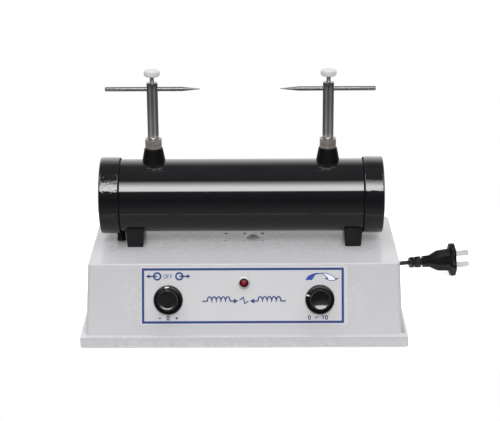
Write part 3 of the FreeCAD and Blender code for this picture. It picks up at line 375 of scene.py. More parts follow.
def repeat_on_grid(piece, width, depth, columns, rows, centre):
    """Repeat a piece made about the origin on a level grid, in millimetres, as one plain mesh."""
    tree = bpy.data.node_groups.new(piece.name + "_on_grid", "GeometryNodeTree")
    repeat = piece.modifiers.new("repeat", "NODES")
    tree.interface.new_socket(name="Piece", in_out="INPUT", socket_type="NodeSocketGeometry")
    sizes = {}
    for label, kind, value in (("Width", "Float", width * 0.001), ("Depth", "Float", depth * 0.001),
                               ("Columns", "Int", columns), ("Rows", "Int", rows),
                               ("Centre", "Vector", [part * 0.001 for part in centre])):
        socket = tree.interface.new_socket(name=label, in_out="INPUT", socket_type="NodeSocket" + kind)
        sizes[socket.identifier] = value
    tree.interface.new_socket(name="Pieces", in_out="OUTPUT", socket_type="NodeSocketGeometry")
    given = tree.nodes.new("NodeGroupInput").outputs
    grid = add_node(tree, "GeometryNodeMeshGrid", {"Size X": given["Width"], "Size Y": given["Depth"],
                                                   "Vertices X": given["Columns"],
                                                   "Vertices Y": given["Rows"]})
    spots = add_node(tree, "GeometryNodeTransform",
                     {"Geometry": grid.outputs[0], "Translation": given["Centre"]})
    copies = add_node(tree, "GeometryNodeInstanceOnPoints",
                      {"Points": spots.outputs[0], "Instance": given["Piece"]})
    real = add_node(tree, "GeometryNodeRealizeInstances", {"Geometry": copies.outputs[0]})
    dressed = add_node(tree, "GeometryNodeSetMaterial",
                       {"Geometry": real.outputs[0], "Material": piece.data.materials[0]})
    tree.links.new(dressed.outputs[0], tree.nodes.new("NodeGroupOutput").inputs[0])
    repeat.node_group = tree
    for identifier, value in sizes.items():
        repeat[identifier] = value
    return plain_mesh(piece)


foot_rubber = moulded("foot rubber", tint(38, 38, 39), 0.72, tone=0.1, grain=0.02, grain_scale=700.0,
                      dust=0.15)
foot_grid, foot_seat = (292.0, 128.0, 2, 2), 2.4
foot_profile = [(2.0, foot_seat), (3.7, foot_seat), (3.7, 0.3), (3.9, 0.0), (6.1, 0.0), (6.45, 0.12),
                (6.6, 0.45), (7.4, 3.75), (7.3, 4.0), (2.0, 4.0)]
feet = make_piece("turned_feet", lathe(foot_profile, 48), foot_rubber)
repeat_on_grid(feet, *foot_grid, (0, 0, 0))
fix(feet, "base", "foot_rubber", "rubber_feet")


# Housing screws: four zinc-plated pan-head screws with a cross recess, driven through the feet
# and the plate into the housing's bosses.
def cut_away(piece, *cutters):
    """Cut solid meshes out of a piece, then throw the cutters away."""
    for cutter in cutters:
        tool = make_piece("cutter", cutter, piece.data.materials[0])
        cut = piece.modifiers.new("cut", "BOOLEAN")
        cut.operation = "DIFFERENCE"
        cut.solver = "EXACT"
        cut.object = tool
        plain_mesh(piece)
        bpy.data.objects.remove(tool)
    piece.data.set_sharp_from_angle(angle=math.radians(32.0))
    return piece


def box_mesh(low, high):
    bm = bmesh.new()
    bmesh.ops.create_cube(bm, size=1.0)
    size = [b - a for a, b in zip(low, high)]
    middle = [(a + b) / 2 for a, b in zip(low, high)]
    return put(bm, Matrix.Translation(middle) @ Matrix.Diagonal((*size, 1.0)))


def cross_head(name, head, shank, pitch, material):
    """Pan-head screw about Z, head below the origin plane, with a thread and a cross recess.

    The head and the shank are each a radius and a length, in millimetres.
    """
    (head_radius, head_height), (shank_radius, length) = head, shank
    profile = [(0, -head_height), (head_radius * 0.55, -head_height), (head_radius * 0.82, -head_height * 0.82),
               (head_radius * 0.97, -head_height * 0.45), (head_radius, -head_height * 0.12), (head_radius, 0),
               (shank_radius, 0)]
    height = 0.6
    while height < length - shank_radius:
        profile += [(shank_radius, height), (shank_radius - 0.25, height + pitch * 0.5)]
        height += pitch
    profile += [(shank_radius * 0.3, length - 0.05), (0, length)]
    screw = make_piece(name, lathe(profile, 32), material)
    arm, half = head_radius * 0.55, head_radius * 0.12
    depth = head_height * 0.6
    return cut_away(screw, box_mesh((-arm, -half, -head_height - 0.5), (arm, half, depth - head_height)),
                    box_mesh((-half, -arm, -head_height - 0.5), (half, arm, depth - head_height)))


screw_zinc = machined("zinc-plated screw", tint(176, 176, 172), 0.32, tone=0.1, depth=0.002)
housing_screws = cross_head("housing_screws", (3.2, 1.5), (1.45, 13.1), 0.9, screw_zinc)
repeat_on_grid(housing_screws, *foot_grid, (0, 0, foot_seat))
fix(housing_screws, "base", "screw_steel", "bottom_screws")


# Circuit board on nylon spacers, its four screws and two capacitors: glass-epoxy laminate and
# shrink-sleeved cans that drive the coil, closed in under the deck.
laminate = blank_finish("epoxy laminate")
skin = group_in(laminate, handled, {"Colour": tint(86, 104, 52), "Tone Change": 0.12, "Patch Scale": 60.0,
                                    "Grain Scale": 900.0, "Grain Height": 0.01, "Roughness": 0.42})
tracks = add_node(laminate.node_tree, "ShaderNodeTexBrick",
                  {"Vector": place_on(laminate.node_tree), "Scale": 60.0, "Color1": skin["Colour"],
                   "Color2": skin["Colour"], "Mortar": tint(150, 150, 96), "Mortar Size": 0.02,
                   "Brick Width": 0.9, "Row Height": 0.3})
coat(laminate, tracks.outputs[0], skin["Roughness"], skin["Height"])
dress(laminate, "circuit_board")

board_middle, board_top = 12.0, 17.1
board_grid = (158.0, 84.0, 2, 2)
nylon = moulded("spacer nylon", tint(226, 222, 208), 0.5, tone=0.05)
spacers = make_piece("nylon_spacers", lathe([(1.5, 2.5), (1.5, 10.0), (3.3, 10.0), (3.5, 9.8), (3.5, 0.2),
                                             (3.3, 0), (0, 0), (0, 2.5)], 32), nylon)
repeat_on_grid(spacers, *board_grid, (0, board_middle, 5.5))
fix(spacers, "base", "spacer_nylon", "board_spacers")

board_screws = cross_head("board_fixings", (2.6, 1.3), (1.4, 7.6), 0.7, screw_zinc)
board_screws.data.transform(Matrix.Rotation(math.pi, 4, "X"))
repeat_on_grid(board_screws, *board_grid, (0, board_middle, board_top))
fix(board_screws, "base", "screw_steel", "board_screws")

can_sleeve = moulded("capacitor sleeve", tint(48, 56, 92), 0.3, tone=0.06)
cans = make_piece("sleeved_capacitors",
                  lathe([(0, 0), (10.7, 0), (11.0, 0.4), (11.0, 2.2), (10.6, 2.7), (10.6, 3.6), (11.0, 4.1),
                         (11.0, 32.9), (10.7, 33.6), (10.0, 33.9), (9.4, 33.9), (9.1, 33.5), (0, 33.4)], 64),
                  can_sleeve)
repeat_on_grid(cans, 1.0, 28.0, 1, 2, (48.0, board_middle, board_top))
fix(cans, "base", "capacitor_sleeve", "storage_capacitors")


# Housing: one moulding in light grey glossy plastic, with a flanged rim, drafted walls, a
# leaning front and a flat deck. The screws of the feet hold it to the plate.
def smooth_copy(node, name, material):
    """A merged copy of a CAD node, smooth on its rounds."""
    bm = bmesh.new()
    bm.from_mesh(frame["nodes"][node].data)
    bmesh.ops.remove_doubles(bm, verts=bm.verts, dist=2e-6)
    bmesh.ops.dissolve_limit(bm, angle_limit=math.radians(0.4), verts=bm.verts, edges=bm.edges)
    return mesh_object(name, bm, material, 28.0)


deck_top = 80.0
housing_grey = moulded("light grey moulding", tint(179, 178, 181), 0.2, tone=0.012, grain=0.0012,
                       grain_scale=1600.0, smudge=0.03, patch=14.0, edge=tint(220, 219, 222),
                       edge_amount=0.35, Specular_IOR_Level=0.22)
grey_tree = housing_grey.node_tree
place = parts_of(grey_tree, place_on(grey_tree))
# The back row of vents is painted dark inside its bores, just below the deck and away from the walls: painted
# shade, where the tube shades them.
bore_shade = height_share(housing_grey, deck_top - 0.1, deck_top - 0.02, 0.97, 0.0)
for value, middle, reach in ((place["Y"], 0.0291, 0.004), (place["X"], 0.0, 0.06)):
    inside = calculate(grey_tree, "COMPARE", value, middle)
    inside.node.inputs[2].default_value = reach
    bore_shade = calculate(grey_tree, "MULTIPLY", bore_shade, inside)
tone_by(housing_grey, calculate(grey_tree, "SUBTRACT", 1.0, bore_shade))
shell = smooth_copy("housing", "moulded_housing", housing_grey)
flatten = shell.modifiers.new("flat faces", "WEIGHTED_NORMAL")
flatten.keep_sharp = True
flatten.weight = 100
fix(shell, "base", "housing_plastic", "housing")


# Printed film: a satin sheet glued to the panel, with a thin blue frame, the polarity symbols,
# a curved arrow, plain marks and a small diagram of a spark gap, screen printed.
turns = {joint["name"]: joint for joint in frame["joints"]}
outward = -Vector(turns["polarity_turn"]["axis"])
upward = Vector((0, -outward.z, outward.y)) * -1
knob_row = (Vector(turns["polarity_turn"]["pos_m"]) + Vector(turns["voltage_turn"]["pos_m"])) * 500
knob_side, knob_up, joint_out = 76.2, 35.0, 10.0
film_top, ink_top = 0.25, 0.28


def on_panel(across, up, out=0.0):
    """Matrix that takes a mesh made about Z to the panel, in millimetres from its foot."""
    turn = Matrix((Vector((1, 0, 0)), upward, outward)).transposed().to_4x4()
    place = knob_row + Vector((across, 0, 0)) + upward * (up - knob_up) + outward * (out - joint_out)
    return Matrix.Translation(place) @ turn


film_finish = moulded("printed satin film", tint(186, 186, 188), 0.3, tone=0.006, grain=0.002,
                      grain_scale=3000.0, smudge=0.01, patch=18.0)
dress(film_finish, "panel_label")


def plate_from(bm, outline):
    """A flat printed shape of one outline on the film, in a mesh."""
    low = [bm.verts.new((x, y, film_top)) for x, y in outline]
    high = [bm.verts.new((x, y, ink_top)) for x, y in outline]
    bm.faces.new(high)
    bm.faces.new(low[::-1])
    for i in range(len(outline)):
        j = (i + 1) % len(outline)
        bm.faces.new((low[i], low[j], high[j], high[i]))


def band(bm, path, width, closed=False):
    """A printed line of even width along a path, as quads with mitred corners."""
    count = len(path)
    sides = []
    for i in range(count):
        here = Vector(path[i])
        before = Vector(path[i - 1]) if closed or i > 0 else None
        after = Vector(path[(i + 1) % count]) if closed or i < count - 1 else None
        first = (here - before).normalized() if before is not None else (after - here).normalized()
        second = (after - here).normalized() if after is not None else first
        normal = Vector((-first.y - second.y, first.x + second.x)).normalized()
        reach = width / 2 / max(normal.dot(Vector((-first.y, first.x))), 0.3)
        sides.append((here + normal * reach, here - normal * reach))
    for i in range(count if closed else count - 1):
        (a, b), (c, d) = sides[i], sides[(i + 1) % count]
        plate_from(bm, [tuple(b), tuple(d), tuple(c), tuple(a)])


def circle_path(x, y, radius):
    steps = 48
    return [(x + radius * math.cos(2 * math.pi * i / steps), y + radius * math.sin(2 * math.pi * i / steps))
            for i in range(steps)]


def arrow(bm, x, y, shaft, head, way, width):
    """A printed arrow that starts at a point and runs along X."""
    neck = x + way * (shaft - head)
    band(bm, [(x, y), (neck + way * 0.3, y)], width)
    plate_from(bm, [(x + way * shaft, y), (neck, y + way * head * 0.55), (neck, y - way * head * 0.55)])


def oval(width):
    return [(width / 2 + width / 2 * math.cos(math.pi * i / 8), 0.5 + 0.5 * math.sin(math.pi * i / 8))
            for i in range(17)]


strokes = {"O": [oval(0.72)], "0": [oval(0.6)], "1": [[(0.1, 0.8), (0.35, 1.0)], [(0.35, 1.0), (0.35, 0.0)]],
           "F": [[(0.08, 0.0), (0.08, 1.0)], [(0.08, 0.93), (0.62, 0.93)], [(0.08, 0.5), (0.54, 0.5)]],
           "+": [[(0.0, 0.5), (0.7, 0.5)], [(0.35, 0.15), (0.35, 0.85)]], "-": [[(0.0, 0.5), (0.7, 0.5)]]}


def letters(bm, text, x, y, height, step, width):
    """Plain printed signs in a row, centred on a point."""
    for i, sign in enumerate(text):
        left = x + (i - (len(text) - 1) / 2) * step - height * 0.35
        for path in strokes.get(sign, []):
            band(bm, [(left + a * height, y + (b - 0.5) * height) for a, b in path], width)


# The prints' places are in millimetres, across from the panel's middle and up from its foot.
switch_x, symbols_up = -76.1, 58.7
blue_print = bmesh.new()
band(blue_print, [(-101.5, 12.4), (99.2, 12.4), (99.2, 65.7), (-101.5, 65.7)], 2.35, closed=True)
for side in (-1, 1):
    centre = switch_x + side * 11.1
    band(blue_print, circle_path(centre, symbols_up, 3.4), 1.7, closed=True)
    arrow(blue_print, centre, symbols_up, 11.5, 3.9, side, 1.4)
band(blue_print, [(77.2, 61.1), (80.2, 60.2), (82.4, 58.4), (84.0, 56.4), (81.6, 56.0), (85.2, 54.3),
                  (89.0, 53.7), (92.2, 54.6), (94.6, 55.9), (91.6, 56.0), (89.6, 58.2), (86.4, 60.0),
                  (82.6, 61.2), (78.0, 61.5)], 0.7)
plate_from(blue_print, [(84.4, 55.0), (84.3, 56.9), (81.6, 56.1)])
plate_from(blue_print, [(92.0, 54.5), (94.9, 55.9), (91.2, 56.2)])
winding_up, winding_end, loop = 33.6, 37.0, 4.6
for side in (-1, 1):
    bumps = []
    for i in range(41):
        swing = math.pi * (i % 8) / 8
        bumps.append((side * (winding_end - loop * (i // 8) - loop / 2 * (1 - math.cos(swing))),
                      winding_up + 4.4 * math.sin(swing)))
    band(blue_print, [(side * 42.0, winding_up)] + bumps, 1.3)
    arrow(blue_print, side * 14.2, winding_up, 8.4, 4.6, -side, 1.3)
band(blue_print, [(-4.6, 34.4), (-0.8, 37.4), (0.6, 31.2), (4.4, 33.4)], 1.1)
letters(blue_print, "- 0 +", -76.2, 16.6, 3.8, 4.3, 1.0)
letters(blue_print, "0 - 10", 74.3, 16.9, 3.8, 3.4, 1.0)
bright_print = bmesh.new()
plate_from(bright_print, [(68.4, 54.5), (71.2, 59.1), (73.4, 60.3), (77.0, 60.5), (78.2, 61.4), (73.2, 61.7),
                          (68.8, 60.8), (64.3, 58.5), (61.5, 54.5)])
light_print = bmesh.new()
letters(light_print, "OFF", switch_x, 58.5, 4.0, 3.2, 0.8)
pale_print = bmesh.new()
plate_from(pale_print, [(82.4, 61.0), (86.2, 59.8), (89.4, 58.0), (91.4, 56.0), (92.0, 54.9), (89.0, 54.0),
                        (85.4, 54.6), (84.0, 56.2), (82.7, 58.2), (80.4, 60.2), (78.6, 61.2)])
for name, print_mesh, shade, colour, tone, out in (
        ("panel_ink", blue_print, "blue", tint(4, 42, 108), 0.06, 0),
        ("panel_ink_bright", bright_print, "bright blue", tint(16, 58, 148), 0.05, 0),
        ("panel_ink_light", light_print, "light blue", tint(98, 120, 156), 0.05, 0),
        ("panel_ink_pale", pale_print, "pale", tint(216, 220, 238), 0.03, -0.01)):
    ink = moulded("screen ink, " + shade, colour, 0.35, tone=tone, grain=0.002, patch=120.0)
    fix(make_piece(name, put(print_mesh, on_panel(0, 0, out)), ink), "base", "label_film")


# Lamp: a polished ring with a threaded neck through the panel, a domed red lens clipped in it,
# and a black holder and nut behind.
def arc_points(centre, radius, start, end, steps):
    """Profile points on an arc, angles in degrees from the outward radius."""
    points = []
    for i in range(steps + 1):
        angle = math.radians(start + (end - start) * i / steps)
        points.append((centre[0] + radius * math.cos(angle), centre[1] + radius * math.sin(angle)))
    return points


def dome(radius, rise, base, steps):
    """Profile points of a spherical cap, from its rim to its top on the axis."""
    sphere = (radius ** 2 + rise ** 2) / (2 * rise)
    points = []
    for i in range(steps + 1):
        out = radius * (1 - i / steps)
        points.append((out, base + math.sqrt(sphere ** 2 - out ** 2) - (sphere - rise)))
    return points


def turned(name, profile, steps, place, material):
    """A lathed piece, put where it belongs."""
    return make_piece(name, put(lathe(profile, steps), place), material)


lamp_up = 52.0
ring_chrome = machined("polished ring", tint(192, 190, 188), 0.36, depth=0.0005, tone=0.03, smudge=0.03,
                       metallic=0.85)
ring_profile = ([(3.7, -9.0), (4.7, -9.0), (4.7, 0.25), (5.85, 0.25), (5.85, 1.2)]
                + arc_points((4.95, 1.6), 0.9, 0, 90, 8)
                + [(4.72, 2.5), (4.6, 2.35), (4.6, 1.15), (3.7, 1.15)])
lamp_ring = turned("lamp_ring", ring_profile, 96, on_panel(0, lamp_up), ring_chrome)
fix(lamp_ring, "base", "bezel_chrome", "lamp_bezel")

lens_red = blank_finish("red lens", Transmission_Weight=0.2, IOR=1.49, Specular_IOR_Level=0.1)
skin = group_in(lens_red, handled, {"Colour": tint(142, 24, 40), "Tone Change": 0.1, "Patch Scale": 400.0,
                                    "Grain Height": 0.002, "Grain Scale": 1200.0, "Roughness": 0.3,
                                    "Smudge": 0.03})
# The lens is painted darker away from its middle: painted shade towards its rim.
lens_tree = lens_red.node_tree
lens_middle = on_panel(0, lamp_up, 2.0).translation * 0.001
apart = add_node(lens_tree, "ShaderNodeVectorMath", {0: place_on(lens_tree), 1: lens_middle},
                 operation="DISTANCE").outputs["Value"]
rim_shade = map_range(lens_tree, apart, 0.0014, 0.0038, 0.0, 1.0)
coat(lens_red, mix_colours(lens_tree, rim_shade, skin["Colour"], tint(40, 6, 12)), skin["Roughness"],
     skin["Height"])
lens_profile = [(0, 1.15), (4.55, 1.15), (4.55, 1.95)] + dome(4.55, 1.4, 1.95, 14)[1:]
lens = turned("lamp_lens_dome", lens_profile, 96, on_panel(0, lamp_up), lens_red)
fix(lens, "base", "lens_red", "lamp_lens")
dress(moulded("holder plastic", tint(42, 42, 44), 0.5, tone=0.08), "lamp_holder")


# Controls behind the panel: a polarity switch and a voltage potentiometer in plated cans, each
# held by a nut on its bushing.
out_of_panel = (0, 0.95, -0.32)
control_plating = machined("control can plating", tint(190, 188, 182), 0.35, across=out_of_panel, tone=0.1)
nut_plating = machined("nickel nut", tint(196, 195, 190), 0.24, across=out_of_panel, tone=0.06)
dress(control_plating, "polarity_switch", "potentiometer")
dress(nut_plating, "polarity_switch_nut", "potentiometer_nut")


# Knobs: black phenolic mouldings with a skirt, a fluted grip and a dished face, pressed on
# turned aluminium spindles. A white mark on the skirt shows the setting; on the polarity knob it is widened
# into a painted highlight.
flutes, flute_radius = 18, 0.85
grip_foot, grip_top = 4.25, 13.7
grip_radius, grip_taper, grip_rows = 11.3, 1.65, 12
knob_black = moulded("black knob moulding", tint(8, 8, 9), 0.3, tone=0.08, grain=0.002, smudge=0.04,
                     patch=90.0, Specular_IOR_Level=0.15, Coat_Roughness=0.06)
polished = add_node(knob_black.node_tree, "ShaderNodeAttribute", attribute_name="polish")
feed(knob_black, Coat_Weight=polished.outputs["Fac"])
mark_white = moulded("white knob mark", tint(236, 236, 232), 0.4, tone=0.04, patch=300.0)
spindle_metal = machined("turned aluminium", tint(196, 196, 198), 0.3, across=out_of_panel)


def fluted(radius, angle, height):
    """Radius of the grip at an angle, where round flutes are cut into it above the skirt."""
    share = min(max((height - 4.2) / 0.5, 0.0), 1.0)
    pitch = 2 * math.pi / flutes
    apart = (angle % pitch) - pitch / 2
    reach = radius + flute_radius * 0.45
    side = reach * math.sin(apart)
    if abs(side) >= flute_radius:
        return radius
    cut = reach * math.cos(apart) - math.sqrt(flute_radius ** 2 - side ** 2)
    return radius - max(radius - cut, 0.0) * share


def knob_mesh(dish):
    """A knob about Z, closed at the top by the profile of its dish, which is polished."""
    # Each row is a radius, a height and how fully the flutes are cut there.
    profile = [(0, 10.8, 0), (3.05, 10.8, 0), (3.05, 6.6, 0), (8.4, 6.6, 0), (8.4, 0, 0), (14.5, 0, 0),
               (14.75, 0.25, 0), (14.75, 0.9, 0), (14.62, 1.3, 0), (13.95, 2.95, 0), (13.7, 3.2, 0),
               (11.9, 3.55, 0), (11.5, 3.72, 0), (11.36, 3.95, 1), (grip_radius, grip_foot, 1)]
    for i in range(1, grip_rows + 1):
        height = grip_foot + (grip_top - grip_foot) * i / grip_rows
        profile.append((grip_radius - grip_taper * i / grip_rows, height, 1))
    profile += [(9.55, 14.15, 1), (9.35, 14.45, 0.6), (9.15, 14.6, 0)]
    profile += [(radius, height, 0) for radius, height in dish]
    steps = flutes * 20
    bm = bmesh.new()
    polish = bm.verts.layers.float.new("polish")
    rings = []
    for radius, height, cut in profile:
        ring = ring_of(bm, height, steps,
                       lambda angle: radius + (fluted(radius, angle, height) - radius) * cut)
        rings.append(ring)
        for vert in ring:
            vert[polish] = float(height > 11 and radius < 9.0)
    return join_rings(bm, rings, steps)


round_dish = [(radius, 29.1 - height) for radius, height in dome(8.95, 0.95, 14.58, 14)]
flat_dish = arc_points((7.19, 18.74), 4.5, -67, -89, 8) + [(5.0, 14.22), (2.5, 14.21), (0, 14.2)]
for name, side, dish, mark_low, mark_high, mark_turn in (
        # The polarity knob's mark is a wide dash shaped like the glint on its skirt: partly its index, partly a
        # painted highlight.
        ("polarity_knob", -1, flat_dish, (-2.0, 12.1, 3.1), (2.0, 13.4, 3.62), 5.5),
        ("voltage_knob", 1, round_dish, (-0.65, 10.4, 3.1), (0.65, 14.2, 3.8), 71.0)):
    seat = on_panel(side * knob_side, knob_up, 0.85)
    fix(make_piece(name + "_moulding", put(knob_mesh(dish), seat), knob_black), name, "knob_plastic", name)
    mark = put(box_mesh(mark_low, mark_high), Matrix.Rotation(math.radians(mark_turn), 4, "Z"))
    fix(soften(make_piece(name + "_mark", put(mark, seat), mark_white), 0.15), name, "knob_plastic")
dress(spindle_metal, "polarity_spindle", "voltage_spindle")


# Deck screw: a large plated dome-head screw with a slot. Under the deck its nut holds an
# aluminium angle that cools the thyristor.
screw_chrome = machined("domed screw plating", tint(206, 204, 206), 0.36, depth=0.0008, tone=0.1,
                        metallic=0.1)
sink_metal = machined("bent aluminium sheet", tint(190, 191, 194), 0.4, across=(1, 0, 0), tone=0.06)
screw_x, screw_y = 9.6, 17.5
screw_profile = ([(0, -15.0), (1.7, -15.0), (2.0, -14.6), (2.0, 0), (6.9, 0), (7.1, 0.2)]
                 + dome(7.1, 2.5, 0.9, 20))
dome_screw = turned("domed_deck_screw", screw_profile, 96, Matrix.Translation((screw_x, screw_y, deck_top)),
                    screw_chrome)
slot = put(box_mesh((-7.3, -0.6, deck_top + 2.4), (7.3, 0.6, deck_top + 4.5)),
           Matrix.Translation((screw_x, screw_y, 0)) @ Matrix.Rotation(math.radians(28.0), 4, "Z"))
cut_away(dome_screw, slot)
fix(dome_screw, "base", "deck_screw_plating", "deck_screw")
dress(screw_zinc, "deck_screw_nut")
dress(sink_metal, "heat_sink")
dress(moulded("device epoxy", tint(36, 36, 38), 0.5), "thyristor")


# Saddles: two black mouldings that widen upwards and cradle the tube, each screwed from under
# the deck by two of the same screws.
coil_y = 10.3
saddle_black = moulded("black saddle moulding", tint(15, 15, 18), 0.34, tone=0.08, grain=0.002,
                       grain_scale=1200.0, smudge=0.04, patch=60.0, Specular_IOR_Level=0.3)
for side in ("left", "right"):
    saddle = soften(smooth_copy(side + "_saddle", side + "_cradle", saddle_black), 0.35, 3)
    fix(saddle, "base", "black_plastic", side + "_saddle")
saddle_fixings = cross_head("saddle_fixings", (3.2, 1.5), (1.4, 10.5), 0.9, screw_zinc)
repeat_on_grid(saddle_fixings, 225.7, 28.0, 2, 2, (0, coil_y, deck_top - 2.5))
fix(saddle_fixings, "base", "screw_steel", "saddle_screws")


# Inside the coil: a laminated iron core, the primary under an insulating sleeve, a sectioned
# bobbin wound with the fine secondary, two end discs and the leads.
core_iron = machined("laminated iron", tint(128, 124, 120), 0.5, line_scale=1400.0, tone=0.2)
copper = machined("enamelled copper", tint(176, 104, 62), 0.28, across=(1, 0, 0), line_scale=3000.0,
                  depth=0.05, tone=0.15)
dress(core_iron, "iron_core")
dress(copper, "primary_winding", "secondary_winding")
dress(moulded("natural insulation", tint(214, 206, 184), 0.5, tone=0.06), "insulating_sleeve",
      "secondary_bobbin")
dress(moulded("cut sheet plastic", tint(60, 60, 62), 0.45), "coil_end_discs")
dress(moulded("lead insulation", tint(150, 36, 32), 0.42), "primary_leads", "high_voltage_leads")


# Coil tube and end caps: an extruded black glossy tube, closed by two moulded caps that are
# glued over its ends.
coil_centre = Vector((-2.4, coil_y, 128.9))
coil_length, tube_radius, tube_bore = 291.4, 37.5, 34.5
gloss_black = moulded("black tube gloss", tint(15, 15, 18), 0.1, tone=0.06, grain=0.0008, grain_scale=900.0,
                      smudge=0.03, patch=40.0, dust=0.012, Specular_IOR_Level=0.25, Coat_Roughness=0.06)
cap_gloss = {side: moulded("black cap gloss, " + side, tint(15, 15, 18), 0.11, tone=0.08, grain=height,
                           grain_scale=430.0, smudge=0.04, patch=60.0, dust=0.012, Specular_IOR_Level=0.25,
                           Coat_Roughness=0.08) for side, height in (("left", 0.09), ("right", 0.02))}
glue_and_joint_shade_black = moulded("black glue and joint shade", tint(10, 10, 11), 0.7, tone=0.1, Specular_IOR_Level=0.1)
for gloss in (gloss_black, *cap_gloss.values()):
    feed(gloss, Coat_Weight=height_share(gloss, 120.0, 128.0, 0.2, 0.8))


def along_tube(bm, x, flip=False):
    """Turn a mesh made about Z to run along the tube from x."""
    turn = Matrix.Rotation(math.radians(-90 if flip else 90), 4, "Y")
    return put(bm, Matrix.Translation((x, coil_centre.y, coil_centre.z)) @ turn)


half_tube = coil_length / 2 - 2.7
tube_profile = ([(tube_bore, 0)] + [(tube_radius, half_tube * 2 * i / 24) for i in range(25)]
                + [(tube_bore, half_tube * 2)])
tube = make_piece("extruded_tube", along_tube(lathe(tube_profile, 192), coil_centre.x - half_tube),
                  gloss_black)
fix(tube, "base", "coil_black", "coil_tube")

# The skin of a cap is drawn in by 0.24 mm, waves slowly and is finely crumpled, the left more.
for name, flip, crumple in (("left", False, 0.1), ("right", True, 0.03)):
    profile = ([(0, 0), (20.0, 0), (36.6, 0)] + arc_points((37.9, 1.8), 1.8, -90, 0, 8)[1:]
               + [(39.7, 2.0 + 17.4 * i / 34) for i in range(1, 35)]
               + [(39.5, 19.8), (39.1, 20.0), (37.6, 20.0), (37.6, 2.6), (0, 2.6)])
    bm = lathe(profile, 480)
    for vert in bm.verts:
        x, y, z = vert.co
        out = math.hypot(x, y)
        if out > 38.2 and z > 0.8:
            wave = noise.noise(Vector((x * 0.05, y * 0.05, z * 0.11 + 7.0 * flip)))
            ripple = noise.noise(Vector((x * 0.52, y * 0.52, z * 0.52 + 3.0)))
            draw = (out - 0.24 + 0.12 * wave + crumple * ripple) / out
            vert.co = (x * draw, y * draw, z)
    end = coil_centre.x + (coil_length / 2 if flip else -coil_length / 2)
    cap = make_piece(name + "_moulded_cap", along_tube(bm, end, flip), cap_gloss[name])
    fix(cap, "base", "cap_black", name + "_end_cap")
    # A matte black line at each cap's mouth: partly glue, partly painted shade standing in for the shadow in
    # the joint.
    bead = lathe([(37.4, 19.9), (39.15, 19.9), (38.75, 20.4), (38.0, 20.9), (37.4, 21.3)], 192)
    joint_line = make_piece(name + "_glue_and_shade_line", along_tube(bead, end, flip), glue_and_joint_shade_black)
    fix(joint_line, "base", "cap_black")


# Lead sleeve: a short soft black sleeve that guides the primary leads from the deck into the
# left cap, pulled in under the cap and sagging at its foot.
sleeve_black = moulded("soft black sleeve", tint(13, 13, 14), 0.6, tone=0.1, grain=0.02, grain_scale=600.0,
                       Specular_IOR_Level=0.3)
low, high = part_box("lead_sleeve")
sleeve_x, sleeve_reach = (low.x + high.x) * 500, (high.x - low.x) * 500
sleeve_steps, cap_reach = 64, 39.72
sleeve_mesh = bmesh.new()
rings = []
for inset, height in [(1.9, 0), (0.5, 0), (0.05, 0.5), (0.1, 1.3), (0.35, 2.4), (0.5, 3.6), (0.55, 5.0),
                      (0.5, 6.6), (0.45, 8.0), (0.5, 9.2), (1.9, 9.2)]:
    ring = []
    for i in range(sleeve_steps):
        angle = 2 * math.pi * i / sleeve_steps
        fold = noise.noise(Vector((math.cos(angle) * 1.7, math.sin(angle) * 1.7, height * 0.45)))
        radius = sleeve_reach - inset - 0.35 * abs(fold)
        x, y = radius * math.cos(angle), radius * math.sin(angle)
        # The top follows the underside of the cap.
        up = coil_centre.z - math.sqrt(cap_reach ** 2 - y * y) - deck_top if height > 9 else height
        ring.append(sleeve_mesh.verts.new((x + sleeve_x, y + coil_centre.y, deck_top + up)))
    rings.append(ring)
join_rings(sleeve_mesh, rings + rings[:1], sleeve_steps)
sleeve = make_piece("soft_lead_sleeve", sleeve_mesh, sleeve_black, sharp=60.0)
fix(sleeve, "base", "sleeve_rubber", "lead_sleeve")


# Insulators, nuts and posts: a turned black cone hollowed to the tube, a chamfered nut and a
# turned steel post whose stud goes down to a nut inside the tube.
post_places = []
for name in ("left", "right"):
    low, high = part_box(name + "_post")
    post_places.append((name, (low.x + high.x) * 500))
cone_radius, cone_top = 12.15, 180.3
post_radius, post_foot, post_top, rod_z = 5.65, 189.3, 249.2, 242.3
insulator_black = moulded("turned black insulator", tint(11, 11, 13), 0.34, tone=0.08, grain=0.001,
                          smudge=0.04, patch=80.0, Specular_IOR_Level=0.2)
nut_steel = machined("satin nut steel", tint(176, 168, 163), 0.36, tone=0.22, depth=0.0, line_scale=300.0,
                     edge=tint(222, 220, 216), metallic=0.85)
post_steel = machined("turned post steel", tint(172, 171, 172), 0.2, tone=0.03, depth=0.0004,
                      line_scale=1800.0, smudge=0.02)
# The foot of each post is painted up to half again lighter, fading out upwards: a painted reflection.
tone_by(post_steel, height_share(post_steel, 192.0, 228.0, 1.55, 1.0))
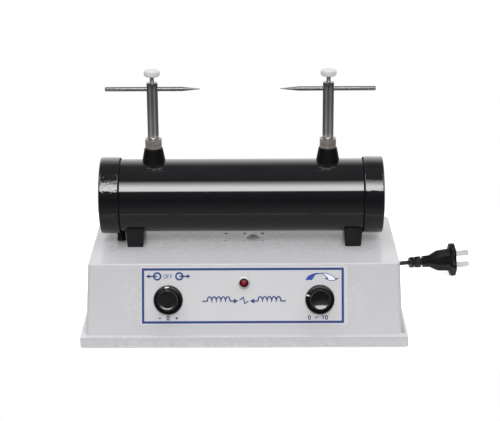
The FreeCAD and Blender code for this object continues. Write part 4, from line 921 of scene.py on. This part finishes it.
for name, x in post_places:
    here = Matrix.Translation((x, coil_y, 0))
    cone_profile = [(4.2, 160.4), (12.3, 160.4), (12.3, 165.0), (cone_radius, 165.5)]
    cone_profile += [(cone_radius - 2.65 * i / 10, 165.5 + 14.2 * i / 10) for i in range(1, 11)]
    cone_profile += [(9.35, cone_top - 0.25), (9.0, cone_top), (4.2, cone_top)]
    cone = turned(name + "_cone", cone_profile, 128, here, insulator_black)
    bore = along_tube(lathe([(0, 0), (tube_radius, 0), (tube_radius, 60.0), (0, 60.0)], 256), x - 30.0)
    fix(soften(cut_away(cone, bore), 0.04), "base", "insulator_black", name + "_insulator")
    nut = soften(smooth_copy(name + "_post_nut", name + "_hex_nut", nut_steel), 0.22, 3)
    fix(nut, "base", "post_nut_steel", name + "_post_nut")
    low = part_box(name + "_post")[0].z * 1000
    post_profile = [(0, low), (3.5, low), (4.0, low + 0.6), (4.0, post_foot), (5.15, post_foot),
                    (5.5, post_foot + 0.2), (post_radius, post_foot + 0.6)]
    post_profile += [(post_radius, post_foot + 0.6 + 58.7 * i / 8) for i in range(1, 9)]
    post_profile += [(5.5, post_top - 0.2), (5.15, post_top), (0, post_top)]
    post = turned(name + "_turned_post", post_profile, 96, here, post_steel)
    cross_bore = put(lathe([(0, -12.0), (2.3, -12.0), (2.3, 12.0), (0, 12.0)], 48),
                     Matrix.Translation((x, coil_y, rod_z)) @ Matrix.Rotation(math.pi / 2, 4, "Y"))
    clamp_bore = put(lathe([(0, rod_z), (2.46, rod_z), (2.46, 252.0), (0, 252.0)], 48), here)
    fix(soften(cut_away(post, cross_bore, clamp_bore), 0.2), "base", "post_steel", name + "_post")
dress(screw_zinc, "post_inner_nuts")


# Discharge rods: polished steel, ground to a point at the inner end, free to slide in the
# posts' cross bores.
rod_polish = machined("polished rod", tint(120, 120, 121), 0.42, across=(1, 0, 0), depth=0.0,
                      line_scale=1500.0, tone=0.03, smudge=0.02)
rod_radius, point_start = 2.25, 78.5
rod_profile = [(0, 0), (1.45, 0), (1.85, 0.12), (2.13, 0.4), (rod_radius, 0.8), (rod_radius, 30.0),
               (rod_radius, 60.0), (rod_radius, point_start)]
rod_profile += [(rod_radius - 1.9 * i / 10, point_start + 18.1 * i / 10) for i in range(1, 11)]
rod_profile += [(0.2, 96.9), (0, 97.0)]
for (name, x), side in zip(post_places, (-1, 1)):
    place = (Matrix.Translation((x + side * 48.0, coil_y, rod_z))
             @ Matrix.Rotation(math.radians(90 * -side), 4, "Y"))
    rod = turned(name + "_pointed_rod", rod_profile, 48, place, rod_polish)
    fix(rod, name + "_rod", "rod_steel", name + "_rod")


# Thumbscrews: a scalloped head of translucent white plastic, moulded on a threaded steel stud
# that clamps the rod.
# The heads glow a little, white: painted light standing in for light through the translucent plastic.
glowing_head_white = moulded("translucent white head, painted glow", tint(150, 150, 152), 0.7, tone=0.02, grain=0.0, smudge=0.02,
                     patch=200.0, Specular_IOR_Level=0.3, Emission_Color=(1, 1, 1, 1), Emission_Strength=0.28)
stud_metal = machined("plated stud", tint(176, 176, 175), 0.35, depth=0.0, tone=0.04)
head_steps, scallops = 256, 16
stud_steps, thread_pitch, row_height = 32, 0.8, 0.1
head_profile = ([(0, 3.6), (2.42, 3.6), (2.42, 0), (5.2, 0), (6.0, 0.06)]
                + arc_points((6.05, 2.1), 2.1, -80, 0, 8) + [(8.15, 2.8), (8.15, 3.7)]
                + arc_points((6.05, 4.3), 2.1, 0, 85, 8)
                + [(5.8, 6.4), (5.2, 6.38), (4.8, 6.2), (4.4, 5.95), (3.8, 5.9), (0, 5.9)])


def scalloped(radius, angle):
    """Radius of the head at an angle, with shallow hollows round its rim."""
    if radius <= 6.0:
        return radius
    pitch = 2 * math.pi / scallops
    apart = ((angle + pitch / 2) % pitch) - pitch / 2
    hollow = 0.5 + 0.5 * math.cos(apart / (pitch / 2) * math.pi)
    return radius - 0.03 * hollow ** 1.4 * min((radius - 6.0) / 1.2, 1.0)


def threaded(angle, height, foot):
    """Radius of the stud's thread, narrowed to a point at its foot."""
    turn = (height / thread_pitch - angle / (2 * math.pi)) % 1.0
    return min(2.4 - 0.42 * abs(2 * turn - 1), 1.8 + height - foot)


for name, x in post_places:
    head_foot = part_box(name + "_thumbscrew_head")[0].z * 1000
    bm = bmesh.new()
    rings = [ring_of(bm, head_foot + height, head_steps, lambda angle: scalloped(radius, angle), (x, coil_y))
             for radius, height in head_profile]
    head = make_piece(name + "_scalloped_head", join_rings(bm, rings, head_steps), glowing_head_white)
    fix(head, name + "_thumbscrew", "thumb_plastic", name + "_thumbscrew_head")

    foot, top = (corner.z * 1000 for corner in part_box(name + "_thumbscrew_stud"))
    rows = int((top - foot) / row_height)
    bm = bmesh.new()
    rings = [ring_of(bm, foot, stud_steps, lambda angle: 0, (x, coil_y))]
    for row in range(rows + 1):
        height = foot + (top - foot) * row / rows
        rings.append(ring_of(bm, height, stud_steps, lambda angle: threaded(angle, height, foot), (x, coil_y)))
    rings.append(ring_of(bm, top, stud_steps, lambda angle: 0, (x, coil_y)))
    stud = make_piece(name + "_threaded_stud", join_rings(bm, rings, stud_steps), stud_metal, sharp=80.0)
    fix(stud, name + "_thumbscrew", "stud_steel", name + "_thumbscrew_stud")


# Cord gland: a ribbed rubber boot that is pressed through the back wall and keeps the cord from
# bending sharply.
gland_rubber = moulded("gland rubber", tint(36, 36, 37), 0.6, tone=0.08, grain=0.02, grain_scale=700.0,
                       dust=0.1)
gland = soften(smooth_copy("cord_gland", "ribbed_gland", gland_rubber), 0.2)
fix(gland, "base", "gland_rubber", "cord_gland")


# Mains cord: a round black PVC lead of 1.5 m. It leaves the gland, drops to the floor, most of
# it is wound in a flat coil of two layers behind the base, and it ends in the plug.
cord_jacket = moulded("cord jacket", tint(13, 13, 15), 0.4, tone=0.08, grain=0.004, grain_scale=900.0,
                      Specular_IOR_Level=0.3)
cord_thickness = 0.0046
coil_turns, coil_inner, coil_pitch = 7.75, 17.02, 5.15
coil_middle = Vector((75.92, 178.0, 0.05))


def coil_point(turn):
    """Centre line of the wound cord after so many turns: in on the floor, up, and out again."""
    apart = turn - coil_turns / 2
    reach = abs(apart) if abs(apart) > 0.25 else apart * apart / 0.5 + 0.125
    share = min(max((apart + 0.25) / 0.5, 0), 1)
    height = 2.3 + share * share * (3 - 2 * share) * coil_pitch
    angle = 2 * math.pi * turn
    radius = coil_inner + coil_pitch * reach
    return coil_middle + Vector((radius * math.cos(angle), radius * math.sin(angle), height))


mouth = Vector((112.9, 109.63, 22.84))
plug_axis = Vector((51.3, 12.4, -0.8)).normalized()
plug_start = Vector((183.5, 102.0, 19.2))
into_coil = (coil_point(0.001) - coil_point(0)).normalized()
out_of_coil = (coil_point(coil_turns) - coil_point(coil_turns - 0.001)).normalized()
entry = coil_point(0) - into_coil * 4.6
leaving = coil_point(coil_turns) + out_of_coil * 4.6
route = [mouth, mouth + Vector((0, 9.993, 0.37)), Vector((113.6, 130.5, 20.4)), Vector((114.1, 141.5, 13.4)),
         Vector((113.5, 152.8, 6.4)), entry - into_coil * 9.5, entry]
route += [coil_point(coil_turns * i / 124) for i in range(125)]
route += [leaving, leaving + out_of_coil * 14.0, Vector((108.5, 137.0, 4.4)), Vector((122.0, 128.4, 2.7)),
          Vector((133.5, 117.8, 4.4)), Vector((145.5, 106.6, 10.6)), Vector((158.6, 100.0, 17.2)),
          plug_start - plug_axis * 12.0, plug_start]
cord_line = bpy.data.curves.new("mains_cord", "CURVE")
cord_line.dimensions = "3D"
spline = cord_line.splines.new("NURBS")
spline.points.add(len(route) - 1)
for point, place in zip(spline.points, route):
    point.co = (*(place * 0.001), 1.0)
spline.order_u = 3
spline.use_endpoint_u = True
spline.resolution_u = 6
cord_line.bevel_depth = cord_thickness / 2
cord_line.bevel_resolution = 5
cord_line.use_fill_caps = True
cord_line.materials.append(cord_jacket)
mains_cord = add_object("mains_cord", cord_line)
fix(mains_cord, "base", "cord_pvc", "cord_lead", "cord_coil", "cord_tail")


# Plug: a moulded black mains plug with three grip ribs, a bevelled body and a flange, and two
# nickel-plated flat pins.
# The plug's edges are painted lighter: a painted highlight along them.
plug_pvc = moulded("plug moulding", tint(11, 11, 13), 0.3, tone=0.08, grain=0.003, grain_scale=900.0,
                   edge=tint(96, 96, 98), edge_amount=0.6, Specular_IOR_Level=0.2)
pin_nickel = machined("nickel pin", tint(204, 202, 198), 0.45, across=(0.2, -0.9, 0.2), tone=0.06,
                      metallic=0.5)
plug = soften(smooth_copy("plug_body", "moulded_plug", plug_pvc), 0.6, 3)
fix(plug, "base", "plug_pvc", "plug_body")
pins = soften(smooth_copy("plug_pins", "flat_pins", pin_nickel), 0.25)
fix(pins, "base", "pin_plating", "plug_pins")


# Floor: a plain pale studio surface that keeps the shadow. It glows for the camera and in
# reflections, so that it shows as white without more light on the object.
floor_white = blank_finish("studio floor", Roughness=0.9, Base_Color=(0.55, 0.55, 0.55, 1),
                           Emission_Color=(1, 1, 1, 1))
floor_rays = add_node(floor_white.node_tree, "ShaderNodeLightPath").outputs
seen = calculate(floor_white.node_tree, "MAXIMUM", floor_rays["Is Glossy Ray"],
                 floor_rays["Is Transmission Ray"], floor_rays["Is Camera Ray"])
feed(floor_white, Emission_Strength=calculate(floor_white.node_tree, "MULTIPLY", seen, 0.62))
floor_side, floor_front, floor_back = 340, -150, 340
floor_mesh = bmesh.new()
floor_mesh.faces.new([floor_mesh.verts.new(corner) for corner in (
    (-floor_side, floor_front, 0), (floor_side, floor_front, 0),
    (floor_side, floor_back, 0), (-floor_side, floor_back, 0))])
make_piece("studio_floor", floor_mesh, floor_white)


# Studio light, by direction alone: a softbox in front, two panels overhead beside it, two low
# side cards, a white backdrop behind and a dim room elsewhere. A light at the zenith reaches
# matt surfaces only, and reflections see a fainter backdrop. The camera sees plain white.
world = bpy.data.worlds.new("studio")
bpy.context.scene.world = world
world.use_nodes = True
sky = world.node_tree
rays = add_node(sky, "ShaderNodeLightPath").outputs
mirrored = calculate(sky, "MAXIMUM", rays["Is Glossy Ray"], rays["Is Transmission Ray"])
side_way, back_way, up_way = parts_of(sky, add_node(sky, "ShaderNodeTexCoord").outputs["Generated"])
level_way = calculate(sky, "SQRT", calculate(sky, "ADD", calculate(sky, "MULTIPLY", side_way, side_way),
                                             calculate(sky, "MULTIPLY", back_way, back_way)), 0.0)
front_way = calculate(sky, "DIVIDE", calculate(sky, "MULTIPLY", back_way, -1.0),
                      calculate(sky, "MAXIMUM", level_way, 0.001))


def lit(*ranges):
    """Light where several values are in their ranges: each value, its range, and what that gives."""
    return calculate(sky, "MULTIPLY", *(map_range(sky, *limits) for limits in ranges))


softbox = lit((up_way, 0.48, 0.507, 0.0, 1.0), (up_way, 0.68, 0.89, 11.7, 0.0),
              (front_way, 0.90, 0.96, 0.0, 1.0))
overhead = lit((up_way, 0.6, 0.68, 0.0, 2.8), (up_way, 0.95, 0.98, 1.0, 0.0),
               (front_way, 0.1, 0.25, 0.0, 1.0), (front_way, 0.75, 0.85, 1.0, 0.0))
card = lit((front_way, 0.2, 0.6, 0.0, 0.2), (front_way, 0.82, 0.97, 1.0, 0.0), (up_way, -0.1, 0.1, 1.0, 0.0))
backdrop = lit((back_way, 0.3, 0.65, 0.0, 1.0), (up_way, 0.55, 0.85, 1.0, 0.0),
               (up_way, -0.14, 0.0, 0.0, 1.0), (mirrored, 0.0, 1.0, 1.9, 0.9))
zenith = lit((up_way, 0.9, 0.97, 0.0, 2.6), (mirrored, 0.0, 1.0, 1.0, 0.0))
far_floor = lit((up_way, -0.33, -0.62, 0.0, 0.3), (mirrored, 0.0, 1.0, 0.0, 1.0))
dim_below, dim_above = lit((up_way, -0.05, -0.25, 0.06, 0.15)), lit((up_way, 0.0, 0.6, 0.0, 0.09))
room = calculate(sky, "ADD", softbox, overhead, card, backdrop, dim_below, dim_above, zenith, far_floor)
strength = add_node(sky, "ShaderNodeMix", {0: rays["Is Camera Ray"], 2: room, 3: 1.0}, data_type="FLOAT")
background = sky.nodes["Background"].inputs
sky.links.new(strength.outputs[0], background["Strength"])
background["Color"].default_value = (1, 1, 1, 1)


# Camera: where the photograph was taken from, fitted to the object's corners, with a picture
# 500 pixels wide.
focal_pixels, picture_pixels, sensor = 1545.4, 500, 36.0
yaw, pitch, roll = math.radians(-0.212), math.radians(18.411), math.radians(-0.297)
ahead = Vector((math.sin(yaw) * math.cos(pitch), math.cos(yaw) * math.cos(pitch), -math.sin(pitch)))
level = Vector((math.cos(yaw), -math.sin(yaw), 0))
above = level.cross(ahead)
right = level * math.cos(roll) + above * math.sin(roll)
top = above * math.cos(roll) - level * math.sin(roll)
camera_lens = bpy.data.cameras.new("photograph")
camera_lens.sensor_width = sensor
camera_lens.lens = focal_pixels / picture_pixels * sensor
camera_lens.clip_end = 50.0
camera = add_object("photograph", camera_lens)
camera.matrix_world = (Matrix.Translation(Vector((11.78, -1519.91, 621.13)) * 0.001)
                       @ Matrix((right, top, -ahead)).transposed().to_4x4())
bpy.context.scene.camera = camera
bpy.context.scene.view_settings.view_transform = "Standard"
